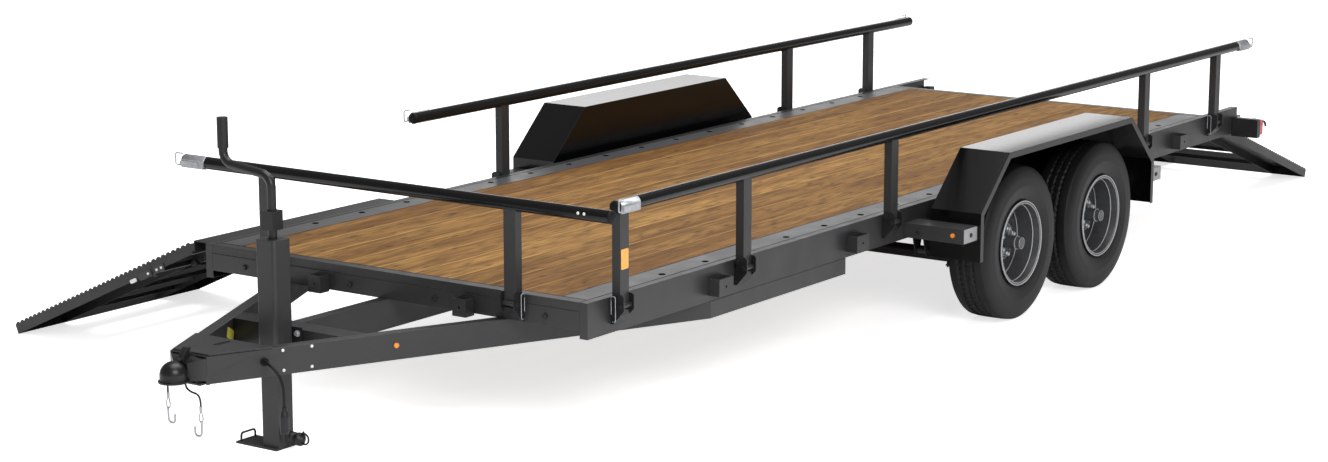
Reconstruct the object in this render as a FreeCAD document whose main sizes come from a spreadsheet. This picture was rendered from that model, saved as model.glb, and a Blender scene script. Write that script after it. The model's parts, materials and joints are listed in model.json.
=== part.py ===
"""Tandem-axle plant trailer with drop-in side rails, a side ramp and a rear ramp.

Frame: +X forward towards the ball coupler, +Y to the left, +Z up, millimetres.
The model is laid out from the deck: X = 0 at the front beam's front face, Z = 0 at the deck's top.
Every node is then moved so that the origin is the centre of the coupler's ball socket.
"""
import FreeCAD
import Part
import math
import os
import re
import Sketcher

V = FreeCAD.Vector
ALONG_X = FreeCAD.Rotation(V(0, 1, 0), 90)
ALONG_Y = FreeCAD.Rotation(V(1, 0, 0), -90)
ALONG_Z = FreeCAD.Rotation()

# Driving sizes, in millimetres and degrees
SIZES = [
    ("deck_length", 5560, "front beam to rear beam, over both"),
    ("deck_width", 1956, "over the side beams"),
    ("deck_height", 560, "deck top above the ground"),
    ("ball_forward", 1175, "ball centre ahead of the front beam"),
    ("ball_drop", 170, "ball centre below the deck top"),
    ("beam_depth", 140, "side beam"),
    ("beam_width", 38, "side beam flange"),
    ("beam_wall", 4, "side beam sheet"),
    ("beam_run_out", 370, "side beam past the rear beam"),
    ("end_depth", 108, "front and rear beam"),
    ("end_width", 50, "front and rear beam flange"),
    ("end_wall", 5, "front and rear beam sheet"),
    ("groove_drop", 32, "top of the front beam's pressed groove"),
    ("groove_size", 4, "groove height"),
    ("plank_thick", 38, "deck timber"),
    ("plank_gap", 4, "gap between planks"),
    ("plank_count", 9, "deck planks side by side"),
    ("strip_width", 118, "steel edge strip"),
    ("strip_wall", 5, "steel edge strip sheet"),
    ("strip_hole", 11, "tie hole radius"),
    ("strip_hole_last", 472, "last tie hole ahead of the deck's back end"),
    ("strip_hole_first", 288, "first tie hole behind the front"),
    ("strip_hole_inset", 74, "tie hole inside the side beam's face"),
    ("strip_hole_count", 17, "tie holes on each side"),
    ("member_depth", 70, "cross member"),
    ("member_width", 40, "cross member flange"),
    ("member_wall", 5, "cross member sheet"),
    ("member_count", 9, "cross members"),
    ("tongue_angle", 25, "each tongue beam from the centre line"),
    ("tongue_depth", 104, "tongue beam"),
    ("tongue_width", 50, "tongue beam"),
    ("tongue_wall", 5, "tongue beam sheet"),
    ("tongue_end", 85.021, "tongue beam's outer corner at its tip off the centre line"),
    ("tongue_back", 1847, "tongue beam's back end"),
    ("centre_depth", 120, "centre beam"),
    ("centre_back", 1850, "centre beam's back end"),
    ("tongue_tip", 1095, "tongue beam's front end ahead of the front beam"),
    ("fit_gap", 0.3, "clearance between pieces that seat"),
    ("plate_wall", 6, "mount plates and bracket plates"),
    ("mount_depth", 96, "jack's cross channel along X"),
    ("flange_wall", 8, "plate that the jack seats on"),
    ("flange_half", 85, "half width of the jack's plate"),
    ("jack_forward", 640, "jack axis ahead of the front beam"),
    ("jack_outer", 95, "jack outer tube, square"),
    ("jack_wall", 7, "jack tubes"),
    ("jack_top", 240, "jack outer tube above the deck top"),
    ("jack_low", 200, "jack outer tube below the deck top"),
    ("leg_top", 60, "leg's hidden top below the deck top"),
    ("foot_length", 110, "foot plate along X"),
    ("foot_width", 207, "foot plate along Y"),
    ("foot_offset", 63, "foot plate centre towards the right"),
    ("foot_wall", 8, "foot plate"),
    ("crank_rod", 17, "crank rod radius"),
    ("crank_rise", 235, "crank bend above the jack's top"),
    ("crank_reach", 240, "crank arm"),
    ("grip_rise", 170, "crank handle above the arm"),
    ("crank_bend", 50, "crank bends at the rod's centre"),
    ("yoke_rise", 35, "crank yoke above the jack's top"),
    ("yoke_height", 72, "crank yoke"),
    ("yoke_size", 56, "crank yoke, square"),
    ("jack_round", 14, "jack outer tube's corners"),
    ("grip_radius", 21, "crank grip"),
    ("grip_length", 116, "crank grip"),
    ("rail_radius", 25.4, "rail tube"),
    ("rail_wall", 3, "rail tube"),
    ("rail_height", 345, "rail tube's centre above the deck top"),
    ("left_rail_front", 150, "left rail's front end behind the front"),
    ("left_rail_behind", 380, "left rail past the deck's back end"),
    ("right_rail_front", 1360, "right rail's front end"),
    ("right_rail_behind", 220, "right rail past the deck's back end"),
    ("front_rail_right", 72, "front rail past the right side beam's face"),
    ("front_rail_left", 127, "front rail past the left side beam's face"),
    ("post_thin", 38, "post across the rail"),
    ("post_wide", 57, "post along the rail"),
    ("post_wall", 3, "post sheet"),
    ("post_gap", 3, "post off the beam's face"),
    ("bracket_drop", 104, "bracket plate's lower end"),
    ("bracket_reach", 62, "bracket plate off the beam's face"),
    ("bracket_top", 12, "bracket plate's top above the deck top"),
    ("pin_radius", 6, "post pin and stop bolt"),
    ("pivot_drop", 33, "post pivot below the deck top"),
    ("pivot_out", 44, "post pivot off the beam's face"),
    ("pivot_gap", 0.05, "running clearance of the post pivot"),
    ("sleeve_radius", 11, "post sleeve"),
    ("lock_out", 20, "lock pin off the beam's face"),
    ("lock_drop", 5, "lock pin below the deck top"),
    ("lock_radius", 8, "lock pin"),
    ("cheek_gap", 1, "gap between a post and its bracket plates"),
    ("pocket_length", 100, "stake pocket along the beam"),
    ("pocket_depth", 54, "stake pocket off the beam"),
    ("pocket_height", 70, "stake pocket"),
    ("pocket_drop", 45, "stake pocket's top below the deck top"),
    ("pocket_wall", 5, "stake pocket"),
    ("pocket_hole", 6, "bolt hole in a stake pocket"),
    ("front_pocket_length", 66, "front stake pocket along the beam"),
    ("tyre_radius", 350, "tyre"),
    ("tyre_width", 205, "tyre"),
    ("tyre_gap", 107, "tyre off the side beam's face"),
    ("bead_radius", 184, "rim under the tyre"),
    ("lip_radius", 193, "rim lip"),
    ("rim_wall", 6, "rim"),
    ("disc_wall", 7, "wheel disc"),
    ("hub_radius", 62, "wheel hub"),
    ("cap_radius", 30, "hub cap"),
    ("spindle_radius", 19, "axle spindle"),
    ("spindle_gap", 0.05, "running clearance of the hub"),
    ("vent_circle", 128, "wheel vent circle radius"),
    ("vent_radius", 19, "wheel vent hole"),
    ("axle_first", 2862, "front axle behind the front beam"),
    ("axle_pitch", 799, "axle spacing"),
    ("axle_radius", 30, "axle tube"),
    ("axle_drop", 100, "axle tube below the spindles"),
    ("axle_out", 42, "axle tube past the side beam's face"),
    ("drop_wall", 30, "drop plate at the axle's end"),
    ("spring_in", 19, "leaf spring inside the side beam's face"),
    ("spring_width", 45, "leaf spring"),
    ("spring_half", 325, "eye to axle"),
    ("leaf_thick", 7, "each leaf"),
    ("leaf_count", 4, "leaves in a pack"),
    ("eye_rise", 18, "eye centre above the pack's top"),
    ("eye_radius", 14, "spring eye"),
    ("eye_bolt", 7, "spring eye bolt radius"),
    ("hanger_wall", 6, "hanger plate"),
    ("hanger_half", 28, "half width of a hanger along X"),
    ("fender_ahead", 407, "fender ahead of the front axle"),
    ("fender_behind", 544, "fender behind the rear axle"),
    ("fender_out", 319, "fender's outer edge off the side beam's face"),
    ("fender_in", 68, "fender's inner side off the side beam's face"),
    ("fender_side", 80, "lower edge of the fender's inner side below the deck top"),
    ("fender_top", 225, "fender's top above the deck top"),
    ("fender_knee", 12, "fender's knee below the deck top"),
    ("fender_low", 230, "fender's lower edge below the deck top"),
    ("fender_run", 255, "length of the fender's slope"),
    ("fender_wall", 3, "fender sheet"),
    ("fender_lip", 28, "fender's outer lip"),
    ("arm_depth", 66, "fender support tube height"),
    ("arm_width", 120, "fender support tube along X"),
    ("arm_drop", 65, "fender support tube's top below the deck top"),
    ("arm_out", 300, "front support tube off the beam's face"),
    ("lamp_forward", 40, "tail lamp box along X"),
    ("lamp_width", 150, "tail lamp box off the beam's face"),
    ("lamp_height", 100, "tail lamp box"),
    ("lamp_drop", 50, "tail lamp box below the deck top"),
    ("lamp_behind", 300, "tail lamp box behind the deck"),
    ("lens_thick", 40, "tail lamp lens"),
    ("marker_radius", 10, "marker lamp"),
    ("ramp_axis_drop", 30, "ramp hinge axis below the deck top"),
    ("ramp_over", 20, "ramp plate's top above the hinge axis"),
    ("ramp_under", 24, "ramp flanges below the hinge axis"),
    ("ramp_start", 40, "ramp surface past the hinge axis"),
    ("ramp_ear", 14, "ramp hinge ears"),
    ("ramp_lug", 8, "ramp hinge lugs"),
    ("ramp_tooth", 7, "height of the traction teeth"),
    ("ramp_pitch", 30, "traction tooth spacing"),
    ("ramp_wall", 4, "ramp sheet"),
    ("ramp_pin", 8, "ramp hinge pin radius"),
    ("ramp_play", 0.1, "ramp hinge clearance"),
    ("fold_drop", 35, "fold pin below the hinge axis"),
    ("fold_pin", 6, "fold pin radius"),
    ("side_length", 1235, "side ramp from hinge axis to end"),
    ("side_fold", 300, "side ramp's upper part"),
    ("side_front", 60, "side ramp's front edge behind the front"),
    ("side_width", 1130, "side ramp"),
    ("side_out", 107, "side ramp's hinge axis off the beam's face"),
    ("rear_length", 1560, "rear ramp from hinge axis to end"),
    ("rear_in", 53, "rear ramp inside the side beam's face"),
    ("rear_out", 45, "rear ramp's hinge axis behind the rear beam"),
    ("runner_width", 200, "ramp runner"),
    ("side_runner", 270, "side ramp runner"),
    ("tread_width", 150, "cross tread along the ramp"),
    ("tread_depth", 30, "cross tread flange"),
    ("tread_pitch", 380, "cross tread spacing"),
    ("side_sill", 87, "fixed tread beside the deck"),
    ("coupler_radius", 50, "coupler dome"),
    ("coupler_lip", 6, "coupler's lower lip beyond the dome"),
    ("ball_radius", 25.8, "coupler socket"),
    ("socket_depth", 27, "coupler mouth below the ball centre"),
    ("cable_radius", 3.8, "safety cable"),
    ("lead_radius", 6, "wiring lead"),
    ("grommet_forward", 893, "wiring grommet ahead of the front beam"),
    ("grommet_down", 46, "wiring grommet below the tongue's top"),
]

doc = FreeCAD.newDocument("PlantTrailer")
sheet = doc.addObject("Spreadsheet::Sheet", "Sizes")
for row, (alias, value, note) in enumerate(SIZES, start=1):
    sheet.set("A%d" % row, alias)
    sheet.set("B%d" % row, str(value))
    sheet.set("C%d" % row, note)
    sheet.setAlias("B%d" % row, alias)
doc.recompute()


def size(alias):
    """Return one driving size as a number."""
    return float(getattr(sheet, alias))


def refer(text):
    """Turn the words of a formula into references to the sheet."""
    return re.sub(r"\b[a-z]\w*\b(?!\()", lambda word: "Sizes." + word.group(), text)


def bind(thing, prop, text):
    """Bind a property to a formula of sheet sizes."""
    thing.setExpression(prop, refer(text))


def place(thing, at, turn=ALONG_Z):
    """Turn an object and bind its position."""
    thing.Placement = FreeCAD.Placement(V(0, 0, 0), turn)
    for axis, text in zip("xyz", at):
        bind(thing, "Placement.Base." + axis, text)
    return thing


def box(name, spans):
    """Return a block from (low, length) pairs along X, Y and Z."""
    block = doc.addObject("Part::Box", name)
    for prop, span in zip(("Length", "Width", "Height"), spans):
        bind(block, prop, span[1])
    return place(block, [span[0] for span in spans])


def rod(name, at, radius, length, turn=ALONG_Z):
    """Return a cylinder that starts at a point and runs along an axis."""
    bar = doc.addObject("Part::Cylinder", name)
    bind(bar, "Radius", radius)
    bind(bar, "Height", length)
    return place(bar, at, turn)


def ball(name, at, radius):
    """Return a sphere."""
    sphere = doc.addObject("Part::Sphere", name)
    bind(sphere, "Radius", radius)
    return place(sphere, at)


def cut(name, base, tools):
    """Return a base with tools cut from it."""
    tool = tools[0]
    if len(tools) > 1:
        tool = doc.addObject("Part::MultiFuse", name + "Tools")
        tool.Shapes = tools
    result = doc.addObject("Part::Cut", name)
    result.Base = base
    result.Tool = tool
    return result


def fuse(name, pieces):
    """Return several pieces as one solid."""
    result = doc.addObject("Part::MultiFuse", name)
    result.Shapes = pieces
    return result


def group(name, pieces):
    """Return several pieces that stay separate solids."""
    result = doc.addObject("Part::Compound", name)
    result.Links = pieces
    return result


def flat(name, plane, loops, start):
    """Return a body with a sketch of polygons and circles on one of its planes."""
    body = doc.addObject("PartDesign::Body", name)
    support = [item for item in body.Origin.OriginFeatures if item.Role == plane + "_Plane"][0]
    sketch = body.newObject("Sketcher::SketchObject", name + "Sketch")
    sketch.AttachmentSupport = [(support, "")]
    sketch.MapMode = "FlatFace"
    bind(sketch, "AttachmentOffset.Base.z", "-(%s)" % start if plane == "XZ" else start)
    for loop in loops:
        if loop[0] == "circle":
            edge = sketch.addGeometry(Part.Circle(V(1, 1, 0), V(0, 0, 1), 1))
            for kind, text in (("DistanceX", loop[1]), ("DistanceY", loop[2])):
                index = sketch.addConstraint(Sketcher.Constraint(kind, -1, 1, edge, 3, 1.0))
                sketch.setExpression("Constraints[%d]" % index, refer(text))
            index = sketch.addConstraint(Sketcher.Constraint("Radius", edge, 1.0))
            sketch.setExpression("Constraints[%d]" % index, refer(loop[3]))
            continue
        count = len(loop)
        turns = [2 * math.pi * step / count for step in range(count)]
        rough = [V(10 * math.cos(turn), 10 * math.sin(turn), 0) for turn in turns]
        edges = []
        for step in range(count):
            line = Part.LineSegment(rough[step], rough[(step + 1) % count])
            edges.append(sketch.addGeometry(line))
        for step in range(count):
            follower = edges[(step + 1) % count]
            sketch.addConstraint(Sketcher.Constraint("Coincident", edges[step], 2, follower, 1))
        for step, point in enumerate(loop):
            start_value = (rough[step].x, rough[step].y)
            for kind, text, value in zip(("DistanceX", "DistanceY"), point, start_value):
                rule = Sketcher.Constraint(kind, -1, 1, edges[step], 1, value)
                index = sketch.addConstraint(rule)
                sketch.setExpression("Constraints[%d]" % index, refer(text))
    return body, sketch


def slab(name, plane, loops, start, length):
    """Return loops on a plane, padded from start over a length along the plane's axis."""
    body, sketch = flat(name, plane, loops, start)
    pad = body.newObject("PartDesign::Pad", name + "Pad")
    pad.Profile = sketch
    bind(pad, "Length", length)
    pad.Reversed = plane == "XZ"
    body.Tip = pad
    return body


def turned(name, profile, at, turn):
    """Return a profile of (radius, height) points turned about its own Z axis and placed."""
    body, sketch = flat(name, "XZ", [profile], "0")
    spin = body.newObject("PartDesign::Revolution", name + "Turn")
    spin.Profile = sketch
    spin.ReferenceAxis = (sketch, ["V_Axis"])
    spin.Angle = 360
    body.Tip = spin
    return place(body, at, turn)


nodes = {}


def node(label, pieces):
    """Name a sub-part and bring it into the frame of the coupler's ball centre."""
    part = group(label.title().replace("_", ""), pieces)
    part.Label = label
    place(part, ("-ball_forward", "0", "ball_drop"))
    nodes[label] = part


def mirrored(name, piece):
    """Return a piece mirrored to the other side of the trailer."""
    other = doc.addObject("Part::Mirroring", name)
    other.Source = piece
    other.Normal = V(0, 1, 0)
    return other


# Side beams: channels open towards the inside, closed by a cap at the front
beam_profile = [
    ("deck_width/2", "0"), ("deck_width/2", "-beam_depth"),
    ("deck_width/2-beam_width", "-beam_depth"), ("deck_width/2-beam_width", "beam_wall-beam_depth"),
    ("deck_width/2-beam_wall", "beam_wall-beam_depth"), ("deck_width/2-beam_wall", "-beam_wall"),
    ("deck_width/2-beam_width", "-beam_wall"), ("deck_width/2-beam_width", "0")]
side_channel = slab("SideChannel", "YZ", [beam_profile], "-deck_length-beam_run_out",
                    "deck_length+beam_run_out-beam_wall/2")
side_cap = box("SideCap", [("-beam_wall", "beam_wall"),
                           ("deck_width/2-beam_width", "beam_width"),
                           ("-beam_depth", "beam_depth")])
side_beam = fuse("SideBeam", [side_channel, side_cap])
node("side_beam_left", [side_beam])
node("side_beam_right", [mirrored("SideBeamRight", side_beam)])

# Front and rear beams: channels that lie between the side beams
front_profile = [
    ("0", "0"), ("0", "-groove_drop"), ("-end_wall/2", "-groove_drop-groove_size/2"),
    ("0", "-groove_drop-groove_size"), ("0", "-end_depth"), ("-end_width", "-end_depth"),
    ("-end_width", "end_wall-end_depth"), ("-end_wall", "end_wall-end_depth"),
    ("-end_wall", "-end_wall"), ("-end_width", "-end_wall"), ("-end_width", "0")]
inner_width = "deck_width-2*beam_width-2*fit_gap"
node("front_beam", [slab("FrontBeam", "XZ", [front_profile],
                         "-deck_width/2+beam_width+fit_gap", inner_width)])
rear_profile = [
    ("-deck_length", "0"), ("-deck_length", "-end_depth"), ("end_width-deck_length", "-end_depth"),
    ("end_width-deck_length", "end_wall-end_depth"), ("end_wall-deck_length", "end_wall-end_depth"),
    ("end_wall-deck_length", "-end_wall"), ("end_width-deck_length", "-end_wall"),
    ("end_width-deck_length", "0")]
node("rear_beam", [slab("RearBeam", "XZ", [rear_profile],
                        "-deck_width/2+beam_width+fit_gap", inner_width)])

# Cross members under the planks, evenly spaced and let into the side channels
members = []
for number in range(int(size("member_count"))):
    at = "-end_width-(deck_length-2*end_width)*%d/(member_count+1)" % (number + 1)
    low = "-plank_thick-member_depth"
    c_shape = [
        (at, "-plank_thick"), (at, low), (at + "+member_width", low),
        (at + "+member_width", low + "+member_wall"), (at + "+member_wall", low + "+member_wall"),
        (at + "+member_wall", "-plank_thick-member_wall"),
        (at + "+member_width", "-plank_thick-member_wall"), (at + "+member_width", "-plank_thick")]
    members.append(slab("Member%d" % number, "XZ", [c_shape],
                        "-deck_width/2+beam_wall+fit_gap", "deck_width-2*beam_wall-2*fit_gap"))
node("cross_members", members)

# Timber planks between the steel edge strips
planks = []
wood_half = "(deck_width/2-beam_width-fit_gap-strip_width)"
pitch = "(2*%s+plank_gap)/plank_count" % wood_half
for number in range(int(size("plank_count"))):
    planks.append(box("Plank%d" % number, [
        ("end_width+fit_gap-deck_length", "deck_length-2*end_width-2*fit_gap"),
        ("-%s+%d*(%s)" % (wood_half, number, pitch), "%s-plank_gap" % pitch),
        ("-plank_thick", "plank_thick")]))
node("deck_planks", planks)

# Steel edge strips: an angle with a row of tie holes
strip_edge = "deck_width/2-beam_width-fit_gap"
strip_profile = [
    (strip_edge, "0"), (strip_edge, "-strip_wall"),
    ("deck_width/2-beam_width-fit_gap-strip_width+strip_wall+plank_gap/2", "-strip_wall"),
    ("deck_width/2-beam_width-fit_gap-strip_width+strip_wall+plank_gap/2", "-plank_thick"),
    ("deck_width/2-beam_width-fit_gap-strip_width+plank_gap/2", "-plank_thick"),
    ("deck_width/2-beam_width-fit_gap-strip_width+plank_gap/2", "0")]
strip_bar = slab("StripBar", "YZ", [strip_profile], "end_width+fit_gap-deck_length",
                 "deck_length-2*end_width-2*fit_gap")
hole_pitch = "(deck_length-strip_hole_first-strip_hole_last)/(strip_hole_count-1)"
holes = [rod("TieHole%d" % number,
             ("-strip_hole_first-%d*%s" % (number, hole_pitch),
              "deck_width/2-strip_hole_inset", "-2*strip_wall"),
             "strip_hole", "3*strip_wall") for number in range(int(size("strip_hole_count")))]
edge_strip = cut("EdgeStrip", strip_bar, holes)
node("edge_strips", [edge_strip, mirrored("EdgeStripRight", edge_strip)])


def tongue(name, inset, tip, back):
    """Return the solid of a tongue beam's outside, or of its inside when inset by the wall."""
    outer = "deck_width/2-%s" % inset
    inner = "deck_width/2-tongue_width+%s" % inset
    kink = "(deck_width/2-tongue_end)/tan(tongue_angle)-tongue_tip"
    kink_out = "-(%s)-%s*tan(tongue_angle/2)" % (kink, inset)
    kink_in = "-(%s)-(tongue_width-%s)*tan(tongue_angle/2)" % (kink, inset)
    tip_out = "tongue_end-%s/cos(tongue_angle)-(%s-tongue_tip)*tan(tongue_angle)" % (inset, tip)
    tip_in = ("tongue_end-(tongue_width-%s)/cos(tongue_angle)"
              "-(%s-tongue_tip)*tan(tongue_angle)") % (inset, tip)
    loop = [("-(%s)" % back, outer), (kink_out, outer), (tip, tip_out),
            (tip, tip_in), (kink_in, inner), ("-(%s)" % back, inner)]
    return slab(name, "XY", [loop], "-end_depth-tongue_depth+%s" % inset,
                "tongue_depth-2*%s" % inset)


tongue_beam = cut("TongueBeam", tongue("TongueOutside", "0", "tongue_tip", "tongue_back"),
                  [tongue("TongueInside", "tongue_wall", "(tongue_tip+10)", "(tongue_back+10)"),
                   box("BeamNotch", [("-tongue_back-5", "tongue_back+10"),
                                     ("deck_width/2-beam_width-fit_gap", "beam_width+5"),
                                     ("-beam_depth-fit_gap", "beam_depth")])])
node("tongue_left", [tongue_beam])
node("tongue_right", [mirrored("TongueRight", tongue_beam)])


def tongue_inside(forward):
    """Return the formula of a tongue beam's inner face at a distance ahead of the front beam."""
    return ("(tongue_end-tongue_width/cos(tongue_angle)-fit_gap"
            "-(%s-tongue_tip)*tan(tongue_angle))") % forward


def tongue_outside(forward):
    """Return the formula of a tongue beam's outer face."""
    return "(tongue_end-(%s-tongue_tip)*tan(tongue_angle))" % forward


# Tongue plates: the top plate with an oval hole at the tip
plate_back = "(tongue_tip-233)"
plate_front = "(tongue_tip-10)"
top_plate = slab("TopPlate", "XY", [
    [(plate_back, "-" + tongue_outside(plate_back)), (plate_front, "-" + tongue_outside(plate_front)),
     (plate_front, tongue_outside(plate_front)), (plate_back, tongue_outside(plate_back))]],
    "-end_depth", "plate_wall")
oval = fuse("Oval", [
    rod("OvalBack", ("tongue_tip-195", "0", "-end_depth-1"), "14", "plate_wall+2"),
    rod("OvalFront", ("tongue_tip-145", "0", "-end_depth-1"), "14", "plate_wall+2"),
    box("OvalMiddle", [("tongue_tip-195", "50"), ("-14", "28"), ("-end_depth-1", "plate_wall+2")])])
cable_bar = box("CableBar", [("tongue_tip-22", "26"), ("-135", "190"),
                             ("-end_depth-tongue_depth-fit_gap-8", "8")])
node("tongue_plates", [cut("TopPlateCut", top_plate, [oval]), cable_bar])

# Jack mount: a cross channel between the tongue beams with a plate that the jack seats on
mount_front = "(jack_forward-jack_outer/2-fit_gap-flange_wall)"
mount_back = "(jack_forward-jack_outer/2-fit_gap-flange_wall-mount_depth)"


def mount_loop(inset):
    """Return the channel's outline between the tongue beams, inset by a wall."""
    back = "(%s+%s)" % (mount_back, inset)
    front = "(%s-%s)" % (mount_front, inset)
    side = "-%s/cos(tongue_angle)" % inset
    return [(back, "-(%s%s)" % (tongue_inside(back), side)),
            (front, "-(%s%s)" % (tongue_inside(front), side)),
            (front, "%s%s" % (tongue_inside(front), side)),
            (back, "%s%s" % (tongue_inside(back), side))]


mount_box = slab("MountBox", "XY", [mount_loop("0"), mount_loop("plate_wall")],
                 "-end_depth-tongue_depth", "tongue_depth")
mount_lid = slab("MountLid", "XY", [mount_loop("plate_wall/2")], "-end_depth-plate_wall",
                 "plate_wall")
mount_flange = box("MountFlange", [(mount_front, "flange_wall"), ("-flange_half", "2*flange_half"),
                                   ("-end_depth-tongue_depth+7", "tongue_depth+3")])
flange_holes = []
for across in ("-flange_half+18", "flange_half-18"):
    for up in ("-end_depth-14", "-end_depth-tongue_depth+25"):
        flange_holes.append(rod("FlangeHole%d" % len(flange_holes), (mount_front + "-1", across, up),
                                "7", "flange_wall+2", ALONG_X))
mount_plate = cut("MountPlate", mount_flange, flange_holes)
node("jack_mount", [fuse("JackMount", [mount_box, mount_lid, mount_plate])])

# Centre beam: a channel from the jack's cross channel back under the deck
centre_front = "(%s-fit_gap)" % mount_back
centre_top = "-end_depth-fit_gap"
centre_low = "-end_depth-fit_gap-centre_depth"
centre_profile = [
    ("0", centre_top), ("0", centre_low), ("-tongue_width", centre_low),
    ("-tongue_width", centre_low + "+tongue_wall"), ("-tongue_wall", centre_low + "+tongue_wall"),
    ("-tongue_wall", centre_top + "-tongue_wall"), ("-tongue_width", centre_top + "-tongue_wall"),
    ("-tongue_width", centre_top)]
node("centre_beam", [slab("CentreBeam", "YZ", [centre_profile], "-centre_back",
                          "centre_back+" + centre_front)])

# Coupler: a socket with a blind cylindrical mouth, a tapered hood and two side plates
dome = fuse("Dome", [
    ball("DomeBall", ("ball_forward", "0", "-ball_drop"), "coupler_radius"),
    rod("DomeSkirt", ("ball_forward", "0", "-ball_drop-socket_depth"), "coupler_radius",
        "socket_depth"),
    rod("DomeLip", ("ball_forward", "0", "-ball_drop-socket_depth"), "coupler_radius+coupler_lip",
        "7")])
dome_below = box("DomeBelow", [("ball_forward-2*coupler_radius", "4*coupler_radius"),
                               ("-2*coupler_radius", "4*coupler_radius"),
                               ("-ball_drop-socket_depth-2*coupler_radius", "2*coupler_radius")])
whole_dome = cut("DomeTrim", dome, [dome_below])
hood_back = "(tongue_tip+fit_gap)"
hood_side = "(%s+(fit_gap+plate_wall)/cos(tongue_angle))" % tongue_outside("tongue_tip")
hood = slab("Hood", "XY", [
    [(hood_back, "-" + hood_side), ("ball_forward-coupler_radius+14", "-34"),
     ("ball_forward-coupler_radius+14", "34"), (hood_back, hood_side)]],
    "-ball_drop-socket_depth", "ball_drop+socket_depth-end_depth-6")
hood_run = "(ball_forward-coupler_radius+8-tongue_tip)"


def hood_slope(name, drop):
    """Return the space above the hood's top, which falls from the tongue's tip to the dome."""
    level = "-end_depth-8-%s" % drop
    return slab(name, "XZ", [
        [("tongue_tip-30", level), ("tongue_tip+8", level), ("tongue_tip+8+" + hood_run, level + "-16"),
         ("tongue_tip+8+" + hood_run, "20"), ("tongue_tip-30", "20")]], "-200", "400")


hood_space = cut("HoodHollow", slab("HoodSpace", "XY", [
    [("tongue_tip-20", "-" + hood_side + "+6"),
     ("ball_forward-coupler_radius-4", "-26"), ("ball_forward-coupler_radius-4", "26"),
     ("tongue_tip-20", hood_side + "-6")]],
    "-ball_drop-socket_depth-1", "ball_drop+socket_depth-end_depth-11"),
    [hood_slope("HoodUnder", "plate_wall")])
hood_shell = cut("HoodShell", hood, [hood_space, hood_slope("HoodOver", "0")])
socket = fuse("Socket", [
    ball("SocketBall", ("ball_forward", "0", "-ball_drop"), "ball_radius"),
    rod("SocketMouth", ("ball_forward", "0", "-ball_drop-2*socket_depth"), "ball_radius",
        "2*socket_depth+4")])
cheeks = []
for side, sign in (("Left", ""), ("Right", "-")):
    near = "+fit_gap/cos(tongue_angle)"
    far = "+(fit_gap+plate_wall)/cos(tongue_angle)"
    back = "(tongue_tip-170)"
    cheek_front = "(tongue_tip+2)"
    cheek = slab("Cheek" + side, "XY", [
        [(back, "%s(%s%s)" % (sign, tongue_outside(back), near)),
         (cheek_front, "%s(%s%s)" % (sign, tongue_outside(cheek_front), near)),
         (cheek_front, "%s(%s%s)" % (sign, tongue_outside(cheek_front), far)),
         (back, "%s(%s%s)" % (sign, tongue_outside(back), far))]],
        "-end_depth-tongue_depth", "tongue_depth")
    slant = slab("Slant" + side, "XZ", [
        [(back + "-5", "-end_depth-10"), (back, "-end_depth-10"),
         ("tongue_tip-12", "-end_depth-66"), ("tongue_tip-6", "-end_depth-tongue_depth-5"),
         (back + "-5", "-end_depth-tongue_depth-5")]], "-deck_width/2", "deck_width")
    cheeks.append(cut("CheekCut" + side, cheek, [slant]))
node("coupler", [cut("CouplerShell", fuse("CouplerBody", [whole_dome, hood_shell] + cheeks), [socket])])
latch_back = "(tongue_tip+8)"
latch_low = "-end_depth-8+2*fit_gap"
node("coupler_latch", [slab("CouplerLatch", "XZ", [
    [(latch_back, latch_low), (latch_back + "+34", latch_low + "-16*34/" + hood_run),
     (latch_back + "+34", "-end_depth-8"), (latch_back + "+24", "-end_depth+12"),
     (latch_back + "+8", "-end_depth+27"), (latch_back + "-8", "-end_depth+27"),
     (latch_back, "-end_depth+8")]], "-13", "26")])

# Jack: outer tube with a lid, inner leg with a foot plate, and a crank on top


def square(reach, offset_y="0"):
    """Return a square loop about the jack's axis, half a side each way."""
    return [("jack_forward-(%s)" % reach, "%s-(%s)" % (offset_y, reach)),
            ("jack_forward+(%s)" % reach, "%s-(%s)" % (offset_y, reach)),
            ("jack_forward+(%s)" % reach, "%s+(%s)" % (offset_y, reach)),
            ("jack_forward-(%s)" % reach, "%s+(%s)" % (offset_y, reach))]


def soften(body, pick, radius):
    """Round the edges of a body that run along Z and are picked by their place."""
    doc.recompute()
    base = body.Tip
    names = []
    for number, edge in enumerate(base.Shape.Edges, start=1):
        line = edge.Vertexes[-1].Point - edge.Vertexes[0].Point
        if abs(line.x) + abs(line.y) < 1e-6 and abs(line.z) > 1 and pick(edge.Vertexes[0].Point):
            names.append("Edge%d" % number)
    round_over = body.newObject("PartDesign::Fillet", body.Name + "Round")
    round_over.Base = (base, names)
    bind(round_over, "Radius", radius)
    body.Tip = round_over
    return body


def on_jack_corner(point):
    """Tell whether a point lies on the jack's outer corners."""
    return abs(abs(point.y) - size("jack_outer") / 2) < 0.01


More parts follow.
